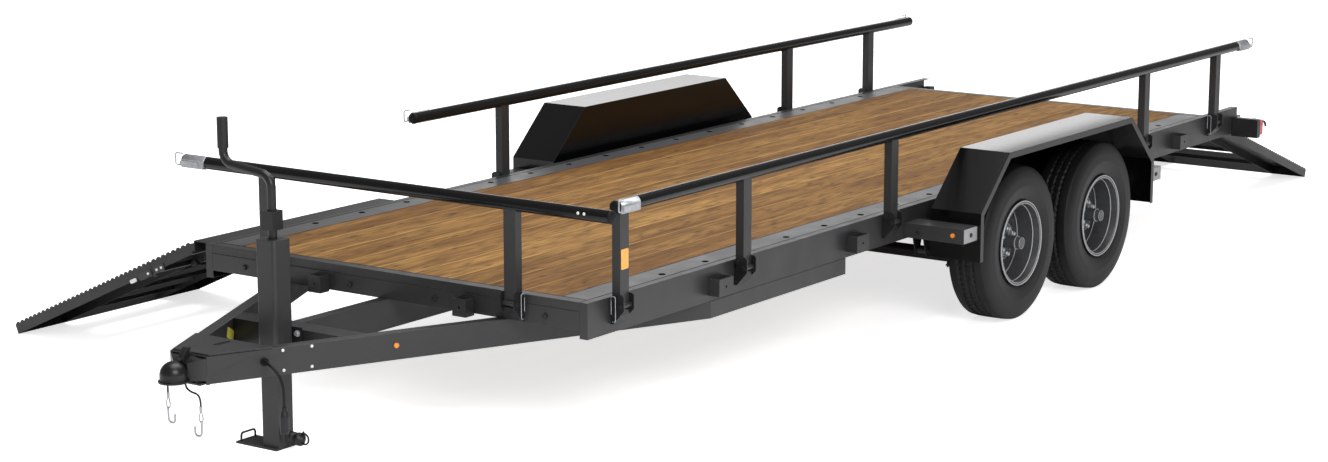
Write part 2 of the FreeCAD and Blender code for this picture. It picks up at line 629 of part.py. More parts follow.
tube_body = slab("JackTube", "XY", [square("jack_outer/2"), square("jack_outer/2-jack_wall")],
                 "-jack_low", "jack_low+jack_top-jack_wall")
soften(tube_body, on_jack_corner, "jack_round")
lid_body = slab("JackLid", "XY", [square("jack_outer/2"),
                                  ("circle", "jack_forward", "0", "crank_rod+ramp_play")],
                "jack_top-jack_wall", "jack_wall")
soften(lid_body, on_jack_corner, "jack_round")
node("jack_outer", [fuse("JackOuter", [tube_body, lid_body])])
leg_half = "(jack_outer/2-jack_wall-fit_gap)"
leg_tube = slab("LegTube", "XY", [square(leg_half), square(leg_half + "-jack_wall")],
                "foot_wall-deck_height", "deck_height-foot_wall-leg_top")
foot = slab("Foot", "XY", [
    [("jack_forward-foot_length/2", "-foot_offset-foot_width/2"),
     ("jack_forward+foot_length/2", "-foot_offset-foot_width/2"),
     ("jack_forward+foot_length/2", "-foot_offset+foot_width/2"),
     ("jack_forward-foot_length/2", "-foot_offset+foot_width/2")]], "-deck_height", "foot_wall")
node("jack_leg", [fuse("JackLeg", [leg_tube, foot])])


def path_wire(points, bends):
    """Return straight runs joined by tangent arcs; a bend of None fills the shorter run."""
    spots = [V(*point) for point in points]
    edges = []
    start = spots[0]
    radii = []
    for index in range(1, len(spots) - 1):
        here = spots[index]
        back = (spots[index - 1] - here)
        ahead = (spots[index + 1] - here)
        half = (math.pi - back.getAngle(ahead)) / 2
        shorter = min(back.Length, ahead.Length)
        radius = 0.45 * shorter / math.tan(half)
        if bends is not None:
            radius = min(radius, bends)
        radii.append(radius)
        reach = radius * math.tan(half)
        back.normalize()
        ahead.normalize()
        first = here + back * reach
        last = here + ahead * reach
        middle = (back + ahead)
        middle.normalize()
        centre = here + middle * (radius / math.cos(half))
        top = centre - middle * radius
        edges.append(Part.LineSegment(start, first).toShape())
        edges.append(Part.Arc(first, top, last).toShape())
        start = last
    edges.append(Part.LineSegment(start, spots[-1]).toShape())
    return Part.Wire(edges), radii


def wire(name, points, radius, bends=None):
    """Return a round bar along a path."""
    spine, radii = path_wire(points, bends)
    along = V(*points[1]) - V(*points[0])
    disc = Part.Wire([Part.makeCircle(radius, V(*points[0]), along)])
    bar = doc.addObject("Part::Feature", name)
    bar.Shape = spine.makePipeShell([disc], True, True)
    return bar, spine.Length, radii


jx = size("jack_forward")
lid_top = size("jack_top")
bend_top = lid_top + size("crank_rise")
reach_y = -size("crank_reach")
crank_bar = wire("CrankBar", [(jx, 0, lid_top - 25), (jx, 0, bend_top),
                              (jx, reach_y, bend_top + 30),
                              (jx, reach_y, bend_top + 30 + size("grip_rise"))],
                 size("crank_rod"), size("crank_bend"))[0]
yoke = slab("Yoke", "XY", [square("yoke_size/2")], "jack_top+yoke_rise", "yoke_height")
grip = rod("Grip", ("jack_forward", "-crank_reach",
                    "jack_top+crank_rise+30+grip_rise-grip_length"), "grip_radius", "grip_length")
node("jack_crank", [fuse("JackCrank", [crank_bar, yoke, grip])])
foot_top = size("foot_wall") - size("deck_height")
foot_y = -size("foot_offset") - size("foot_width") / 2
foot_bow = wire("FootBow", [(jx - 38, foot_y + 12, foot_top + 0.3), (jx - 38, foot_y + 12, foot_top + 30),
                            (jx + 38, foot_y + 12, foot_top + 30), (jx + 38, foot_y + 12, foot_top + 0.3)],
                4, 12)[0]
pin_y = size("jack_outer") / 2 - size("jack_wall")
pin_case = rod("PinCase", ("jack_forward-12", leg_half + "+fit_gap", "foot_wall-deck_height+34"),
               "14", "52", ALONG_Y)
pin_bow = wire("PinBow", [(jx - 30, pin_y + 60, foot_top + 60), (jx - 30, pin_y + 60, foot_top + 14),
                          (jx + 6, pin_y + 60, foot_top + 14), (jx + 6, pin_y + 60, foot_top + 60)],
               4, 12)[0]
pin_neck = rod("PinNeck", ("jack_forward-12", leg_half + "+52", "foot_wall-deck_height+34"),
               "6", "16", ALONG_Y)
pin_bar = box("PinBar", [("jack_forward-36", "48"), (leg_half + "+fit_gap+54", "12"),
                         ("foot_wall-deck_height+28", "12")])
node("jack_fittings", [fuse("JackPin", [pin_case, pin_neck, pin_bar, pin_bow]), foot_bow])

# Rail brackets: two bent plates, a foot between them, the pivot bolt and the lock pin's head
face = "deck_width/2"


def bracket_outline(base):
    """Return the bent plate's outline from the beam's face outwards."""
    reach = base + "+bracket_reach"
    return [(base + "+fit_gap", "-bracket_drop"), (base + "+14", "-bracket_drop"),
            (reach, "-bracket_drop+54"), (reach, "bracket_top-10"),
            (reach + "-12", "bracket_top"), (base + "+16", "bracket_top"),
            (base + "+8", "bracket_top-8"), (base + "+8", "-bracket_drop+68"),
            (base + "+fit_gap", "-bracket_drop+56")]


def foot_outline(base):
    """Return the outline of the foot that fills the gap between two bracket plates."""
    top = "-pivot_drop-sleeve_radius-5"
    return [(base + "+fit_gap", "-bracket_drop"), (base + "+14", "-bracket_drop"),
            (base + "+pivot_out", "-bracket_drop+34"), (base + "+pivot_out", top),
            (base + "+fit_gap", top)]


def bracket(name, plane, along, base, turn, order):
    """Return one bracket whose post is centred at a place along the beam."""
    half = "(post_wide/2+cheek_gap)"
    pieces = []
    for end, start in (("A", "%s-%s-plate_wall" % (along, half)), ("B", "%s+%s" % (along, half))):
        pieces.append(slab(name + end, plane, [bracket_outline(base)], start, "plate_wall"))
    pieces.append(slab(name + "Foot", plane, [foot_outline(base)], "%s-%s" % (along, half),
                       "2*%s" % half))
    span = [along + "-%s-plate_wall-9" % half, base + "+pivot_out", "-pivot_drop"]
    lock = [along + "%s" % order, base + "+lock_out", "-lock_drop"]
    at = (lambda spot: (spot[0], spot[1], spot[2])) if plane == "YZ" else (
        lambda spot: (spot[1], spot[0], spot[2]))
    pieces.append(rod(name + "Bolt", at(span), "pin_radius", "2*%s+2*plate_wall+18" % half, turn))
    for end, start in (("HeadA", "-%s-plate_wall-7" % half), ("HeadB", "+%s+plate_wall" % half)):
        spot = [along + start, base + "+pivot_out", "-pivot_drop"]
        pieces.append(rod(name + end, at(spot), "pin_radius*1.7", "7", turn))
    pieces.append(rod(name + "Lock", at(lock), "lock_radius", "plate_wall+12", turn))
    return fuse(name, pieces)


left_posts = [("180", 1), ("1020", 0), ("2180", 0), ("(deck_length-860)", 0),
              ("(deck_length+5)", 1)]
right_posts = [("2000", 1), ("(deck_length-1080)", 0), ("(deck_length-230)", 1)]
front_posts = [("645", 1), ("-604", 1)]
front_lock = "+post_wide/2+cheek_gap"
brackets = []
for number, (spot, big) in enumerate(left_posts):
    brackets.append(bracket("BracketL%d" % number, "YZ", "-" + spot, face, ALONG_X, front_lock))
for number, (spot, big) in enumerate(right_posts):
    other = bracket("BracketR%d" % number, "YZ", "-" + spot, face, ALONG_X, front_lock)
    brackets.append(mirrored("BracketRight%d" % number, other))
for number, (spot, big) in enumerate(front_posts):
    brackets.append(bracket("BracketF%d" % number, "XZ", spot, "0", ALONG_Y, front_lock))
node("rail_brackets", brackets)

# Hairpins that hang from the lock pins of the end posts
hairpins = []
plate_out = size("post_wide") / 2 + size("cheek_gap") + size("plate_wall") + 9
lock_z = -size("lock_drop")
lock_r = size("lock_radius") + 0.4
half_deck = size("deck_width") / 2
for number, spot in enumerate((-180, -size("deck_length") - 5)):
    x = spot + plate_out
    y = half_deck + size("lock_out")
    hairpins.append(wire("HairpinL%d" % number, [
        (x, y - lock_r - 1.5, lock_z - 60), (x, y - lock_r - 1.5, lock_z + lock_r + 2),
        (x, y + lock_r + 1.5, lock_z + lock_r + 2), (x, y + lock_r + 1.5, lock_z - 88),
        (x, y - lock_r + 4, lock_z - 88)], 1.5, 8)[0])
for number, spot in enumerate((645, -604)):
    y = spot + plate_out
    x = size("lock_out")
    hairpins.append(wire("HairpinF%d" % number, [
        (x - lock_r - 1.5, y, lock_z - 60), (x - lock_r - 1.5, y, lock_z + lock_r + 2),
        (x + lock_r + 1.5, y, lock_z + lock_r + 2), (x + lock_r + 1.5, y, lock_z - 88),
        (x - lock_r + 4, y, lock_z - 88)], 1.5, 8)[0])
node("rail_hairpins", hairpins)

# Stake pockets: open rectangular tubes on the side and front beams


def pocket(name, centre, base, plane_is_side, length):
    """Return an open upright pocket on a beam's face with a bolt hole in its outer wall."""
    low = "-pocket_drop-pocket_height"
    across = [(base + "+fit_gap", "pocket_depth"), (base + "+fit_gap+pocket_wall",
                                                    "pocket_depth-2*pocket_wall")]
    along = [("%s-%s/2" % (centre, length), length),
             ("%s-%s/2+pocket_wall" % (centre, length), "%s-2*pocket_wall" % length)]
    outer = [along[0], across[0]]
    inner = [along[1], across[1]]
    hole = (centre, base + "+pocket_depth/2", low + "+pocket_height/2")
    turn = ALONG_Y
    if not plane_is_side:
        outer.reverse()
        inner.reverse()
        hole = (hole[1], hole[0], hole[2])
        turn = ALONG_X
    shell = box(name + "Shell", outer + [(low, "pocket_height")])
    space = box(name + "Space", inner + [(low + "-5", "pocket_height+10")])
    bolt = rod(name + "Hole", hole, "pocket_hole", "pocket_depth", turn)
    return cut(name, shell, [space, bolt])


rear_pocket = "-0.31*(axle_first+axle_pitch+fender_behind)-0.69*deck_length-0.05"
pockets = []
for number, spot in enumerate(("-850", "-1900", rear_pocket)):
    pockets.append(pocket("PocketL%d" % number, spot, face, True, "pocket_length"))
for number, spot in enumerate(("-1900", rear_pocket)):
    other = pocket("PocketR%d" % number, spot, face, True, "pocket_length")
    pockets.append(mirrored("PocketRight%d" % number, other))
for number, spot in enumerate(("405", "-335")):
    pockets.append(pocket("PocketF%d" % number, spot, "0", False, "front_pocket_length"))
node("stake_pockets", pockets)


# Rails: a tube on hollow posts that are coped to it and swing on sleeves
def post(name, plane, along, base):
    """Return a hollow post with its pivot sleeve."""
    low = "-pivot_drop-sleeve_radius/2"
    half = "post_wide/2"
    near = base + "+post_gap"

    def loop(inset):
        return [(near + "+" + inset, low), (near + "+post_thin-" + inset, low),
                (near + "+post_thin-" + inset, "rail_height"), (near + "+" + inset, "rail_height")]
    outer = slab(name + "Out", plane, [loop("0")], "%s-%s" % (along, half), "post_wide")
    inner = slab(name + "In", plane,
                 [[(x, y if "height" in y else low + "+26") for x, y in loop("post_wall")]],
                 "%s-%s+post_wall" % (along, half), "post_wide-2*post_wall")
    turn = ALONG_X if plane == "YZ" else ALONG_Y
    start = "%s-%s" % (along, half)
    spots = [(start, base + "+pivot_out", "-pivot_drop"),
             (start + "-5", base + "+pivot_out", "-pivot_drop"),
             (start + "-5", base + "+post_gap+post_thin/2", "rail_height")]
    if plane == "XZ":
        spots = [(spot[1], spot[0], spot[2]) for spot in spots]
    shell = cut(name + "Tube", outer, [inner])
    sleeve = rod(name + "Sleeve", spots[0], "sleeve_radius", "post_wide", turn)
    bore = rod(name + "Bore", spots[1], "pin_radius+pivot_gap", "post_wide+10", turn)
    cope = rod(name + "Cope", spots[2], "rail_radius", "post_wide+10", turn)
    return cut(name, fuse(name + "Body", [shell, sleeve]), [bore, cope])


left_post_set = [post("PostL%d" % number, "YZ", "-" + spot, face)
                 for number, (spot, big) in enumerate(left_posts)]
node("rail_left_posts", left_post_set)
right_post_set = [mirrored("PostRight%d" % number, post("PostR%d" % number, "YZ", "-" + spot, face))
                  for number, (spot, big) in enumerate(right_posts)]
node("rail_right_posts", right_post_set)
node("rail_front_posts", [post("PostF%d" % number, "XZ", spot, "0")
                          for number, (spot, big) in enumerate(front_posts)])


def tube(name, at, length, turn):
    """Return a rail tube open at both ends."""
    outer = rod(name + "Out", at, "rail_radius", length, turn)
    inner = rod(name + "In", at, "rail_radius-rail_wall", length, turn)
    return cut(name, outer, [inner])


rail_y = "deck_width/2+post_gap+post_thin/2"
node("rail_left_tube", [tube("RailLeft", ("-deck_length-left_rail_behind", rail_y, "rail_height"),
                             "deck_length+left_rail_behind-left_rail_front", ALONG_X)])
node("rail_right_tube", [tube("RailRight", (
    "-deck_length-right_rail_behind", "-(%s)" % rail_y, "rail_height"),
    "deck_length+right_rail_behind-right_rail_front", ALONG_X)])
node("rail_front_tube", [tube("RailFront", (
    "post_gap+post_thin/2", "-deck_width/2-front_rail_right", "rail_height"),
    "deck_width+front_rail_right+front_rail_left", ALONG_Y)])


def toggle(name, spot, end, side):
    """Return a toggle latch: a half sleeve, a lever and a wire bail past the tube's end."""
    x, y, z = spot
    out = size("rail_radius") + 0.3
    pieces = []
    if side == "x":
        base = Part.makeBox(120, 4, 34, V(min(x, x - end * 120), y + out, z - 24))
        lever = Part.makeBox(96, 9, 20, V(min(x, x - end * 96), y + out + 4, z - 17))
        loop = [(x - end * 40, y + out + 8, z - 14), (x + end * 26, y + out + 8, z - 14),
                (x + end * 26, y + out + 8, z + 34), (x - end * 14, y + out + 8, z + 34)]
    else:
        base = Part.makeBox(4, 120, 34, V(x + out, min(y, y - end * 120), z - 24))
        lever = Part.makeBox(9, 96, 20, V(x + out + 4, min(y, y - end * 96), z - 17))
        loop = [(x + out + 8, y - end * 40, z - 14), (x + out + 8, y + end * 26, z - 14),
                (x + out + 8, y + end * 26, z + 34), (x + out + 8, y - end * 14, z + 34)]
    plate = doc.addObject("Part::Feature", name + "Plate")
    plate.Shape = base.fuse(lever)
    pieces.append(plate)
    pieces.append(wire(name + "Bail", loop, 3, 8)[0])
    return fuse(name, pieces)


rail_at = half_deck + size("post_gap") + size("post_thin") / 2
rail_z = size("rail_height")
left_end = size("deck_length") + size("left_rail_behind")
right_end = size("deck_length") + size("right_rail_behind")
node("rail_left_latches", [
    toggle("LatchLF", (-size("left_rail_front"), rail_at, rail_z), 1, "x"),
    toggle("LatchLB", (-left_end, rail_at, rail_z), -1, "x")])
front_at = size("post_gap") + size("post_thin") / 2
node("rail_front_latch", [
    toggle("LatchFR", (front_at, -half_deck - size("front_rail_right"), rail_z), -1, "y")])
right_latches = [toggle("LatchRF", (-size("right_rail_front"), rail_at, rail_z), 1, "x"),
                 toggle("LatchRB", (-right_end, rail_at, rail_z), -1, "x")]
node("rail_right_latches", [mirrored("RightLatch%d" % number, item)
                            for number, item in enumerate(right_latches)])

# Wheels
tyre_half = "tyre_width/2"
tyre_profile = [
    ("bead_radius+fit_gap", "-0.38*tyre_width"), ("bead_radius+12", "-0.43*tyre_width"),
    ("bead_radius+70", "-0.5*tyre_width"), ("tyre_radius-48", "-0.49*tyre_width"),
    ("tyre_radius-14", "-0.44*tyre_width"), ("tyre_radius", "-0.36*tyre_width"),
    ("tyre_radius", "0.36*tyre_width"), ("tyre_radius-14", "0.44*tyre_width"),
    ("tyre_radius-48", "0.49*tyre_width"), ("bead_radius+70", "0.5*tyre_width"),
    ("bead_radius+12", "0.43*tyre_width"), ("bead_radius+fit_gap", "0.38*tyre_width")]
lip = "0.45*tyre_width"
barrel_profile = [
    ("lip_radius", lip), ("lip_radius", lip + "+4"), ("bead_radius-rim_wall", lip + "+4"),
    ("bead_radius-rim_wall", "-(%s)-4" % lip), ("lip_radius", "-(%s)-4" % lip),
    ("lip_radius", "-(%s)" % lip), ("bead_radius", "-(%s)" % lip), ("bead_radius", lip)]
disc_profile = [
    ("cap_radius-2", "0"), ("hub_radius+20", "0"), ("hub_radius+42", "-18"),
    ("bead_radius-40", "-30"), ("bead_radius-rim_wall+1", "-30"),
    ("bead_radius-rim_wall+1", "-30+disc_wall"), ("bead_radius-38", "-30+disc_wall"),
    ("hub_radius+46", "-18+disc_wall"), ("hub_radius+24", "disc_wall"),
    ("cap_radius-2", "disc_wall")]
hub_profile = [
    ("spindle_radius+spindle_gap", "-60"), ("hub_radius", "-60"), ("hub_radius", "0"),
    ("cap_radius", "0"), ("cap_radius", "76"), ("cap_radius-5", "80"), ("cap_radius-5", "98"),
    ("cap_radius-9", "101"), ("0", "101"), ("0", "52"), ("spindle_radius+spindle_gap", "52")]
wheel_y = "deck_width/2+tyre_gap+tyre_width/2"
wheel_nodes = []
for side, sign, turn in (("left", "", ALONG_Y), ("right", "-", FreeCAD.Rotation(V(1, 0, 0), 90))):
    for axle, offset in (("front", "0"), ("rear", "axle_pitch")):
        key = axle.title() + side.title()
        at = ("-axle_first-%s" % offset, "%s(%s)" % (sign, wheel_y), "tyre_radius-deck_height")
        node("tyre_%s_%s" % (axle, side), [turned("Tyre" + key, tyre_profile, at, turn)])
        disc = turned("Disc" + key, disc_profile, ("0", "0", "0"), ALONG_Z)
        vents = []
        for number in range(8):
            ang = "%d" % (number * 45)
            vents.append(rod("Vent%s%d" % (key, number), (
                "vent_circle*cos(%s)" % ang, "vent_circle*sin(%s)" % ang, "-60"),
                "vent_radius/2", "80"))
        pierced = cut("Pierced" + key, disc, vents)
        wheel = fuse("WheelBody" + key, [
            turned("Barrel" + key, barrel_profile, ("0", "0", "0"), ALONG_Z), pierced,
            turned("Hub" + key, hub_profile, ("0", "0", "0"), ALONG_Z)])
        turned_wheel = group("WheelTurn" + key, [wheel])
        place(turned_wheel, at, turn)
        node("wheel_%s_%s" % (axle, side), [turned_wheel])

# Axles with drop plates and spindles, and the spring seats on them
axle_pieces = []
axle_half = "(deck_width/2+axle_out)"
spring_z = "(tyre_radius-deck_height-axle_drop+axle_radius+fit_gap)"
for name, offset in (("Front", "0"), ("Rear", "axle_pitch")):
    x = "-axle_first-%s" % offset
    drop = "tyre_radius-deck_height-axle_drop"
    hollow = cut("AxleTube" + name, rod("AxleOut" + name, (x, "-" + axle_half, drop), "axle_radius",
                                        "2*(deck_width/2+axle_out)", ALONG_Y),
                 [rod("AxleIn" + name, (x, "-(deck_width/2+axle_out)-1", drop), "axle_radius-6",
                      "2*(deck_width/2+axle_out)+2", ALONG_Y)])
    parts_of = [hollow]
    for side, sign in (("L", 1), ("R", -1)):
        low = "(deck_width/2+axle_out)" if sign > 0 else "-(deck_width/2+axle_out)-drop_wall"
        parts_of.append(slab("Drop%s%s" % (name, side), "XZ", [
            [("%s-34" % x, "%s-30" % drop), ("%s+34" % x, "%s-30" % drop),
             ("%s+26" % x, "tyre_radius-deck_height+26"),
             ("%s-26" % x, "tyre_radius-deck_height+26")]], low, "drop_wall"))
        tip = "(deck_width/2+axle_out)+drop_wall-2" if sign > 0 else "-(%s)-45" % wheel_y
        length = "(%s)+45-(deck_width/2+axle_out)-drop_wall+2" % wheel_y
        parts_of.append(rod("Spindle%s%s" % (name, side), (x, tip, "tyre_radius-deck_height"),
                            "spindle_radius", length, ALONG_Y))
    axle_pieces.append(fuse("Axle" + name, parts_of))
node("axles", axle_pieces)

# Leaf springs: stepped packs with an eye at each end
springs = []
spring_side = "(deck_width/2-spring_in)"
spring_low = spring_side + "-spring_width/2"
for name, offset in (("Front", "0"), ("Rear", "axle_pitch")):
    x = "-axle_first-%s" % offset
    def level(share, step):
        return "%s+leaf_count*leaf_thick+eye_rise*%s-%s*leaf_thick" % (spring_z, share, step)
    right = [("%s+0.27*spring_half" % x, level(0.1, 0)), ("%s+0.52*spring_half" % x, level(0.33, 0)),
             ("%s+spring_half" % x, level(1.0, 0)), ("%s+spring_half" % x, level(1.0, 1)),
             ("%s+0.78*spring_half" % x, level(0.65, 1)), ("%s+0.78*spring_half" % x, level(0.65, 2)),
             ("%s+0.52*spring_half" % x, level(0.33, 2)), ("%s+0.52*spring_half" % x, level(0.33, 3)),
             ("%s+0.27*spring_half" % x, level(0.1, 3)), ("%s+0.27*spring_half" % x, level(0.1, 4))]
    left = [("%s-%s" % (x, spot[0].split("+", 1)[1]), spot[1]) for spot in right]
    pack = slab("Leaf" + name, "XZ", [right + left[::-1]], spring_low, "spring_width")
    eyes = []
    bores = []
    for end, sign in (("A", "+"), ("B", "-")):
        eye_at = ("%s%sspring_half" % (x, sign), spring_low, level(1.0, 0) + "-leaf_thick+eye_radius")
        eyes.append(rod("Eye%s%s" % (name, end), eye_at, "eye_radius", "spring_width", ALONG_Y))
        bores.append(rod("EyeBore%s%s" % (name, end), (eye_at[0], spring_low + "-1", eye_at[2]),
                         "eye_bolt+fit_gap", "spring_width+2", ALONG_Y))
    spring = cut("Spring" + name, fuse("SpringBody" + name, [pack] + eyes), bores)
    springs.extend([spring, mirrored("SpringRight" + name, spring)])
node("leaf_springs", springs)

# Hangers, the equaliser between the springs, and the clamps that hold each pack to its axle
eye_z = "(%s+leaf_count*leaf_thick+eye_rise-leaf_thick+eye_radius)" % spring_z
hanger_pieces = []
hanger_low = "(deck_width/2-spring_in)-spring_width/2-cheek_gap-hanger_wall"
hanger_full = "spring_width+2*cheek_gap+2*hanger_wall"
spots = [("Lead", "-axle_first+spring_half"), ("Mid", "-axle_first-axle_pitch/2"),
         ("Tail", "-axle_first-axle_pitch-spring_half")]
for name, x in spots:
    cheeks_of = []
    drop_z = eye_z if name != "Mid" else "(%s+16)" % eye_z
    for end, start in (("A", hanger_low), ("B", "(deck_width/2-spring_in)+spring_width/2+cheek_gap")):
        cheeks_of.append(slab("Hanger%s%s" % (name, end), "XZ", [
            [(x + "-hanger_half-18", "-beam_depth-fit_gap"), (x + "-hanger_half/2", drop_z + "-20"),
             (x + "+hanger_half/2", drop_z + "-20"), (x + "+hanger_half+18", "-beam_depth-fit_gap")]],
            start, "hanger_wall"))
    cheeks_of.append(box("HangerTop" + name, [
        (x + "-hanger_half-18", "2*hanger_half+36"), (hanger_low, hanger_full),
        ("-beam_depth-fit_gap-hanger_wall", "hanger_wall")]))
    cheeks_of.append(rod("HangerBolt" + name, (x, hanger_low + "-6", drop_z), "eye_bolt",
                         hanger_full + "+12", ALONG_Y))
    hanger = fuse("Hanger" + name, cheeks_of)
    hanger_pieces.extend([hanger, mirrored("HangerRight" + name, hanger)])
node("spring_hangers", hanger_pieces)
mid_x = "-axle_first-axle_pitch/2"
gap_half = "(axle_pitch/2-spring_half)"
eq_low = "(deck_width/2-spring_in)-spring_width/2"
eq_body = slab("EqBody", "XZ", [
    [(mid_x + "-%s+18" % gap_half, eye_z + "-12"), (mid_x + "-%s+18" % gap_half, eye_z + "+8"),
     (mid_x + "-22", eye_z + "+34"), (mid_x + "+22", eye_z + "+34"),
     (mid_x + "+%s-18" % gap_half, eye_z + "+8"), (mid_x + "+%s-18" % gap_half, eye_z + "-12")]],
    eq_low, "spring_width")
eq_bore = rod("EqBore", (mid_x, eq_low + "-1", eye_z + "+16"), "eye_bolt+fit_gap",
              "spring_width+2", ALONG_Y)
equaliser = cut("Equaliser", eq_body, [eq_bore])
shackles = []
for end, sign in (("A", "+"), ("B", "-")):
    x = "%s%s%s" % (mid_x, sign, gap_half)
    shackles.append(rod("Shackle" + end, (x, spring_low + "-12", eye_z), "eye_bolt",
                        "spring_width+24", ALONG_Y))
equalisers = [equaliser, mirrored("EqualiserRight", equaliser)]
for number, item in enumerate(shackles):
    equalisers.extend([item, mirrored("ShackleRight%d" % number, item)])
clamps = []
for name, offset in (("Front", "0"), ("Rear", "axle_pitch")):
    x = "-axle_first-%s" % offset
    axle_z = "(tyre_radius-deck_height-axle_drop)"
    pad_top = "%s+leaf_count*leaf_thick+0.1*eye_rise+fit_gap" % spring_z
    pieces = [box("Pad" + name, [(x + "-50", "100"), (spring_low + "-10", "spring_width+20"),
                                 (pad_top, "8")]),
              box("Tie" + name, [(x + "-50", "100"), ("(deck_width/2-spring_in)-spring_width/2-10",
                                                      "spring_width+20"),
                                 (axle_z + "-axle_radius-fit_gap-8", "8")])]
    for corner, (along, across) in enumerate(((-1, -1), (-1, 1), (1, -1), (1, 1))):
        pieces.append(rod("Ubolt%s%d" % (name, corner), (
            "%s+%d*(axle_radius+8)" % (x, along), spring_side + "+%d*(spring_width/2+5.5)" % across,
            axle_z + "-axle_radius-16"), "5", "2*axle_radius+leaf_count*leaf_thick+eye_rise*0.1+34"))
    clamp = fuse("Clamp" + name, pieces)
    clamps.extend([clamp, mirrored("ClampRight" + name, clamp)])
node("spring_fittings", equalisers + clamps)


# Fenders: one bent sheet with a flat inner side and a lip along its outer edge
def fender_edge(inset):
    """Return the fender's line from the front foot over the top to the rear foot."""
    lean = "atan(fender_run/(fender_top+fender_knee))"
    knee = "-fender_knee-%s*tan(%s/2)" % (inset, lean)
    crown = "fender_run+%s*tan((90deg-%s)/2)" % (inset, lean)
    front = "-(axle_first-fender_ahead)"
    back = "-(axle_first+axle_pitch+fender_behind)"
    return [("%s-%s" % (front, inset), "-fender_low"), ("%s-%s" % (front, inset), knee),
            ("%s-(%s)" % (front, crown), "fender_top-" + inset),
            ("%s+%s" % (back, crown), "fender_top-" + inset),
            ("%s+%s" % (back, inset), knee), ("%s+%s" % (back, inset), "-fender_low")]


skin = slab("FenderSkin", "XZ", [fender_edge("0") + fender_edge("fender_wall")[::-1]],
            "deck_width/2+fender_in", "fender_out-fender_in")
rim_lip = slab("FenderLip", "XZ", [fender_edge("0") + fender_edge("fender_lip")[::-1]],
               "deck_width/2+fender_out-fender_wall", "fender_wall")
side_edge = [(along, "-fender_side" if up == "-fender_low" else up) for along, up in fender_edge("0")]
side_wall = slab("FenderSide", "XZ", [side_edge], "deck_width/2+fender_in", "fender_wall")
fender = fuse("Fender", [skin, side_wall, rim_lip])
node("fender_left", [fender])
node("fender_right", [mirrored("FenderRight", fender)])
arms = []
for name, x in (("Front", "-(axle_first-fender_ahead)+fit_gap"),
                ("Rear", "-(axle_first+axle_pitch+fender_behind)-fit_gap-arm_width")):
    shell = box("Arm" + name, [(x, "arm_width"), ("deck_width/2+fit_gap", "arm_out"),
                               ("-arm_drop-arm_depth", "arm_depth")])
    space = box("ArmSpace" + name, [(x + "+5", "arm_width-10"), ("deck_width/2-5", "arm_out+20"),
                                    ("-arm_drop-arm_depth+5", "arm_depth-10")])
    arm = cut("SupportArm" + name, shell, [space])
    arms.extend([arm, mirrored("SupportArmRight" + name, arm)])
node("fender_arms", arms)

# Marker lamps on the front arms and on the tongue's outer faces
lamp_x = "-(axle_first-fender_ahead)+2*fit_gap+arm_width"
marker = rod("Marker", (lamp_x, "deck_width/2+247", "-arm_drop-31"), "marker_radius", "6", ALONG_X)
tongue_turn = math.radians(size("tongue_angle"))
kink = (half_deck - size("tongue_end")) / math.tan(tongue_turn) - size("tongue_tip")
normal = V(math.sin(tongue_turn), math.cos(tongue_turn), 0)
side_x = 419
side_y = half_deck - (side_x + kink) * math.tan(tongue_turn)
side_lamp = doc.addObject("Part::Feature", "SideMarker")
side_lamp.Shape = Part.makeCylinder(
    size("marker_radius"), 7, V(side_x, side_y, -size("end_depth") - 47) + normal * 0.3, normal)
node("marker_lamps", [marker, mirrored("MarkerRight", marker), side_lamp,
                      mirrored("SideMarkerRight", side_lamp)])

# Tail lamps
lamp_box = box("LampBox", [("-deck_length-lamp_behind-lamp_forward", "lamp_forward"),
                           ("deck_width/2+fit_gap", "lamp_width"), ("-lamp_drop-lamp_height",
                                                                    "lamp_height")])
lens = box("Lens", [("-deck_length-lamp_behind-lamp_forward-fit_gap-lens_thick", "lens_thick"),
                    ("deck_width/2+6", "lamp_width-8"), ("-lamp_drop-lamp_height+12",
                                                           "lamp_height-18")])
node("tail_lamp_boxes", [lamp_box, mirrored("LampBoxRight", lamp_box)])
node("tail_lamp_lenses", [lens, mirrored("LensRight", lens)])

# Latch rods at the side beams' rear ends
beam_end = -size("deck_length") - size("beam_run_out")
block = box("RodBlock", [("-deck_length-beam_run_out-fit_gap-46", "46"),
                         ("deck_width/2-rear_in+7", "rear_in-7"), ("-112", "62")])
handle = wire("RodHandle", [(beam_end - 28, half_deck - 16, -66), (beam_end - 28, half_deck + 150, -70),
                            (beam_end - 28, half_deck + 156, -96)], 6, 12)[0]
latch_rod = fuse("LatchRod", [block, handle])
latch_rods = [latch_rod, mirrored("LatchRodRight", latch_rod)]


# Ramps, in their own frame: the hinge axis is Y, the ramp runs towards -X and +Z is its top
def comb(start, end, side, wall="ramp_wall"):
    """Return a flange plate with a row of traction teeth along its top."""
    pitch_value = size("ramp_pitch")
    over = size("ramp_over")
    tooth = size("ramp_tooth")
    count = int((end - start) // pitch_value)
    step = (end - start) / count
    outline = [V(-start, 0, -size("ramp_under")), V(-start, 0, over)]
    for number in range(count):
        left_edge = start + number * step
        outline.append(V(-left_edge - 0.2 * step, 0, over + tooth))
        outline.append(V(-left_edge - 0.6 * step, 0, over + tooth))
        outline.append(V(-left_edge - 0.8 * step, 0, over))
        outline.append(V(-left_edge - step, 0, over))
    outline.append(V(-end, 0, -size("ramp_under")))
    outline.append(outline[0])
    blade = Part.Face(Part.makePolygon(outline)).extrude(V(0, size(wall), 0))
    blade.translate(V(0, side, 0))
    return blade


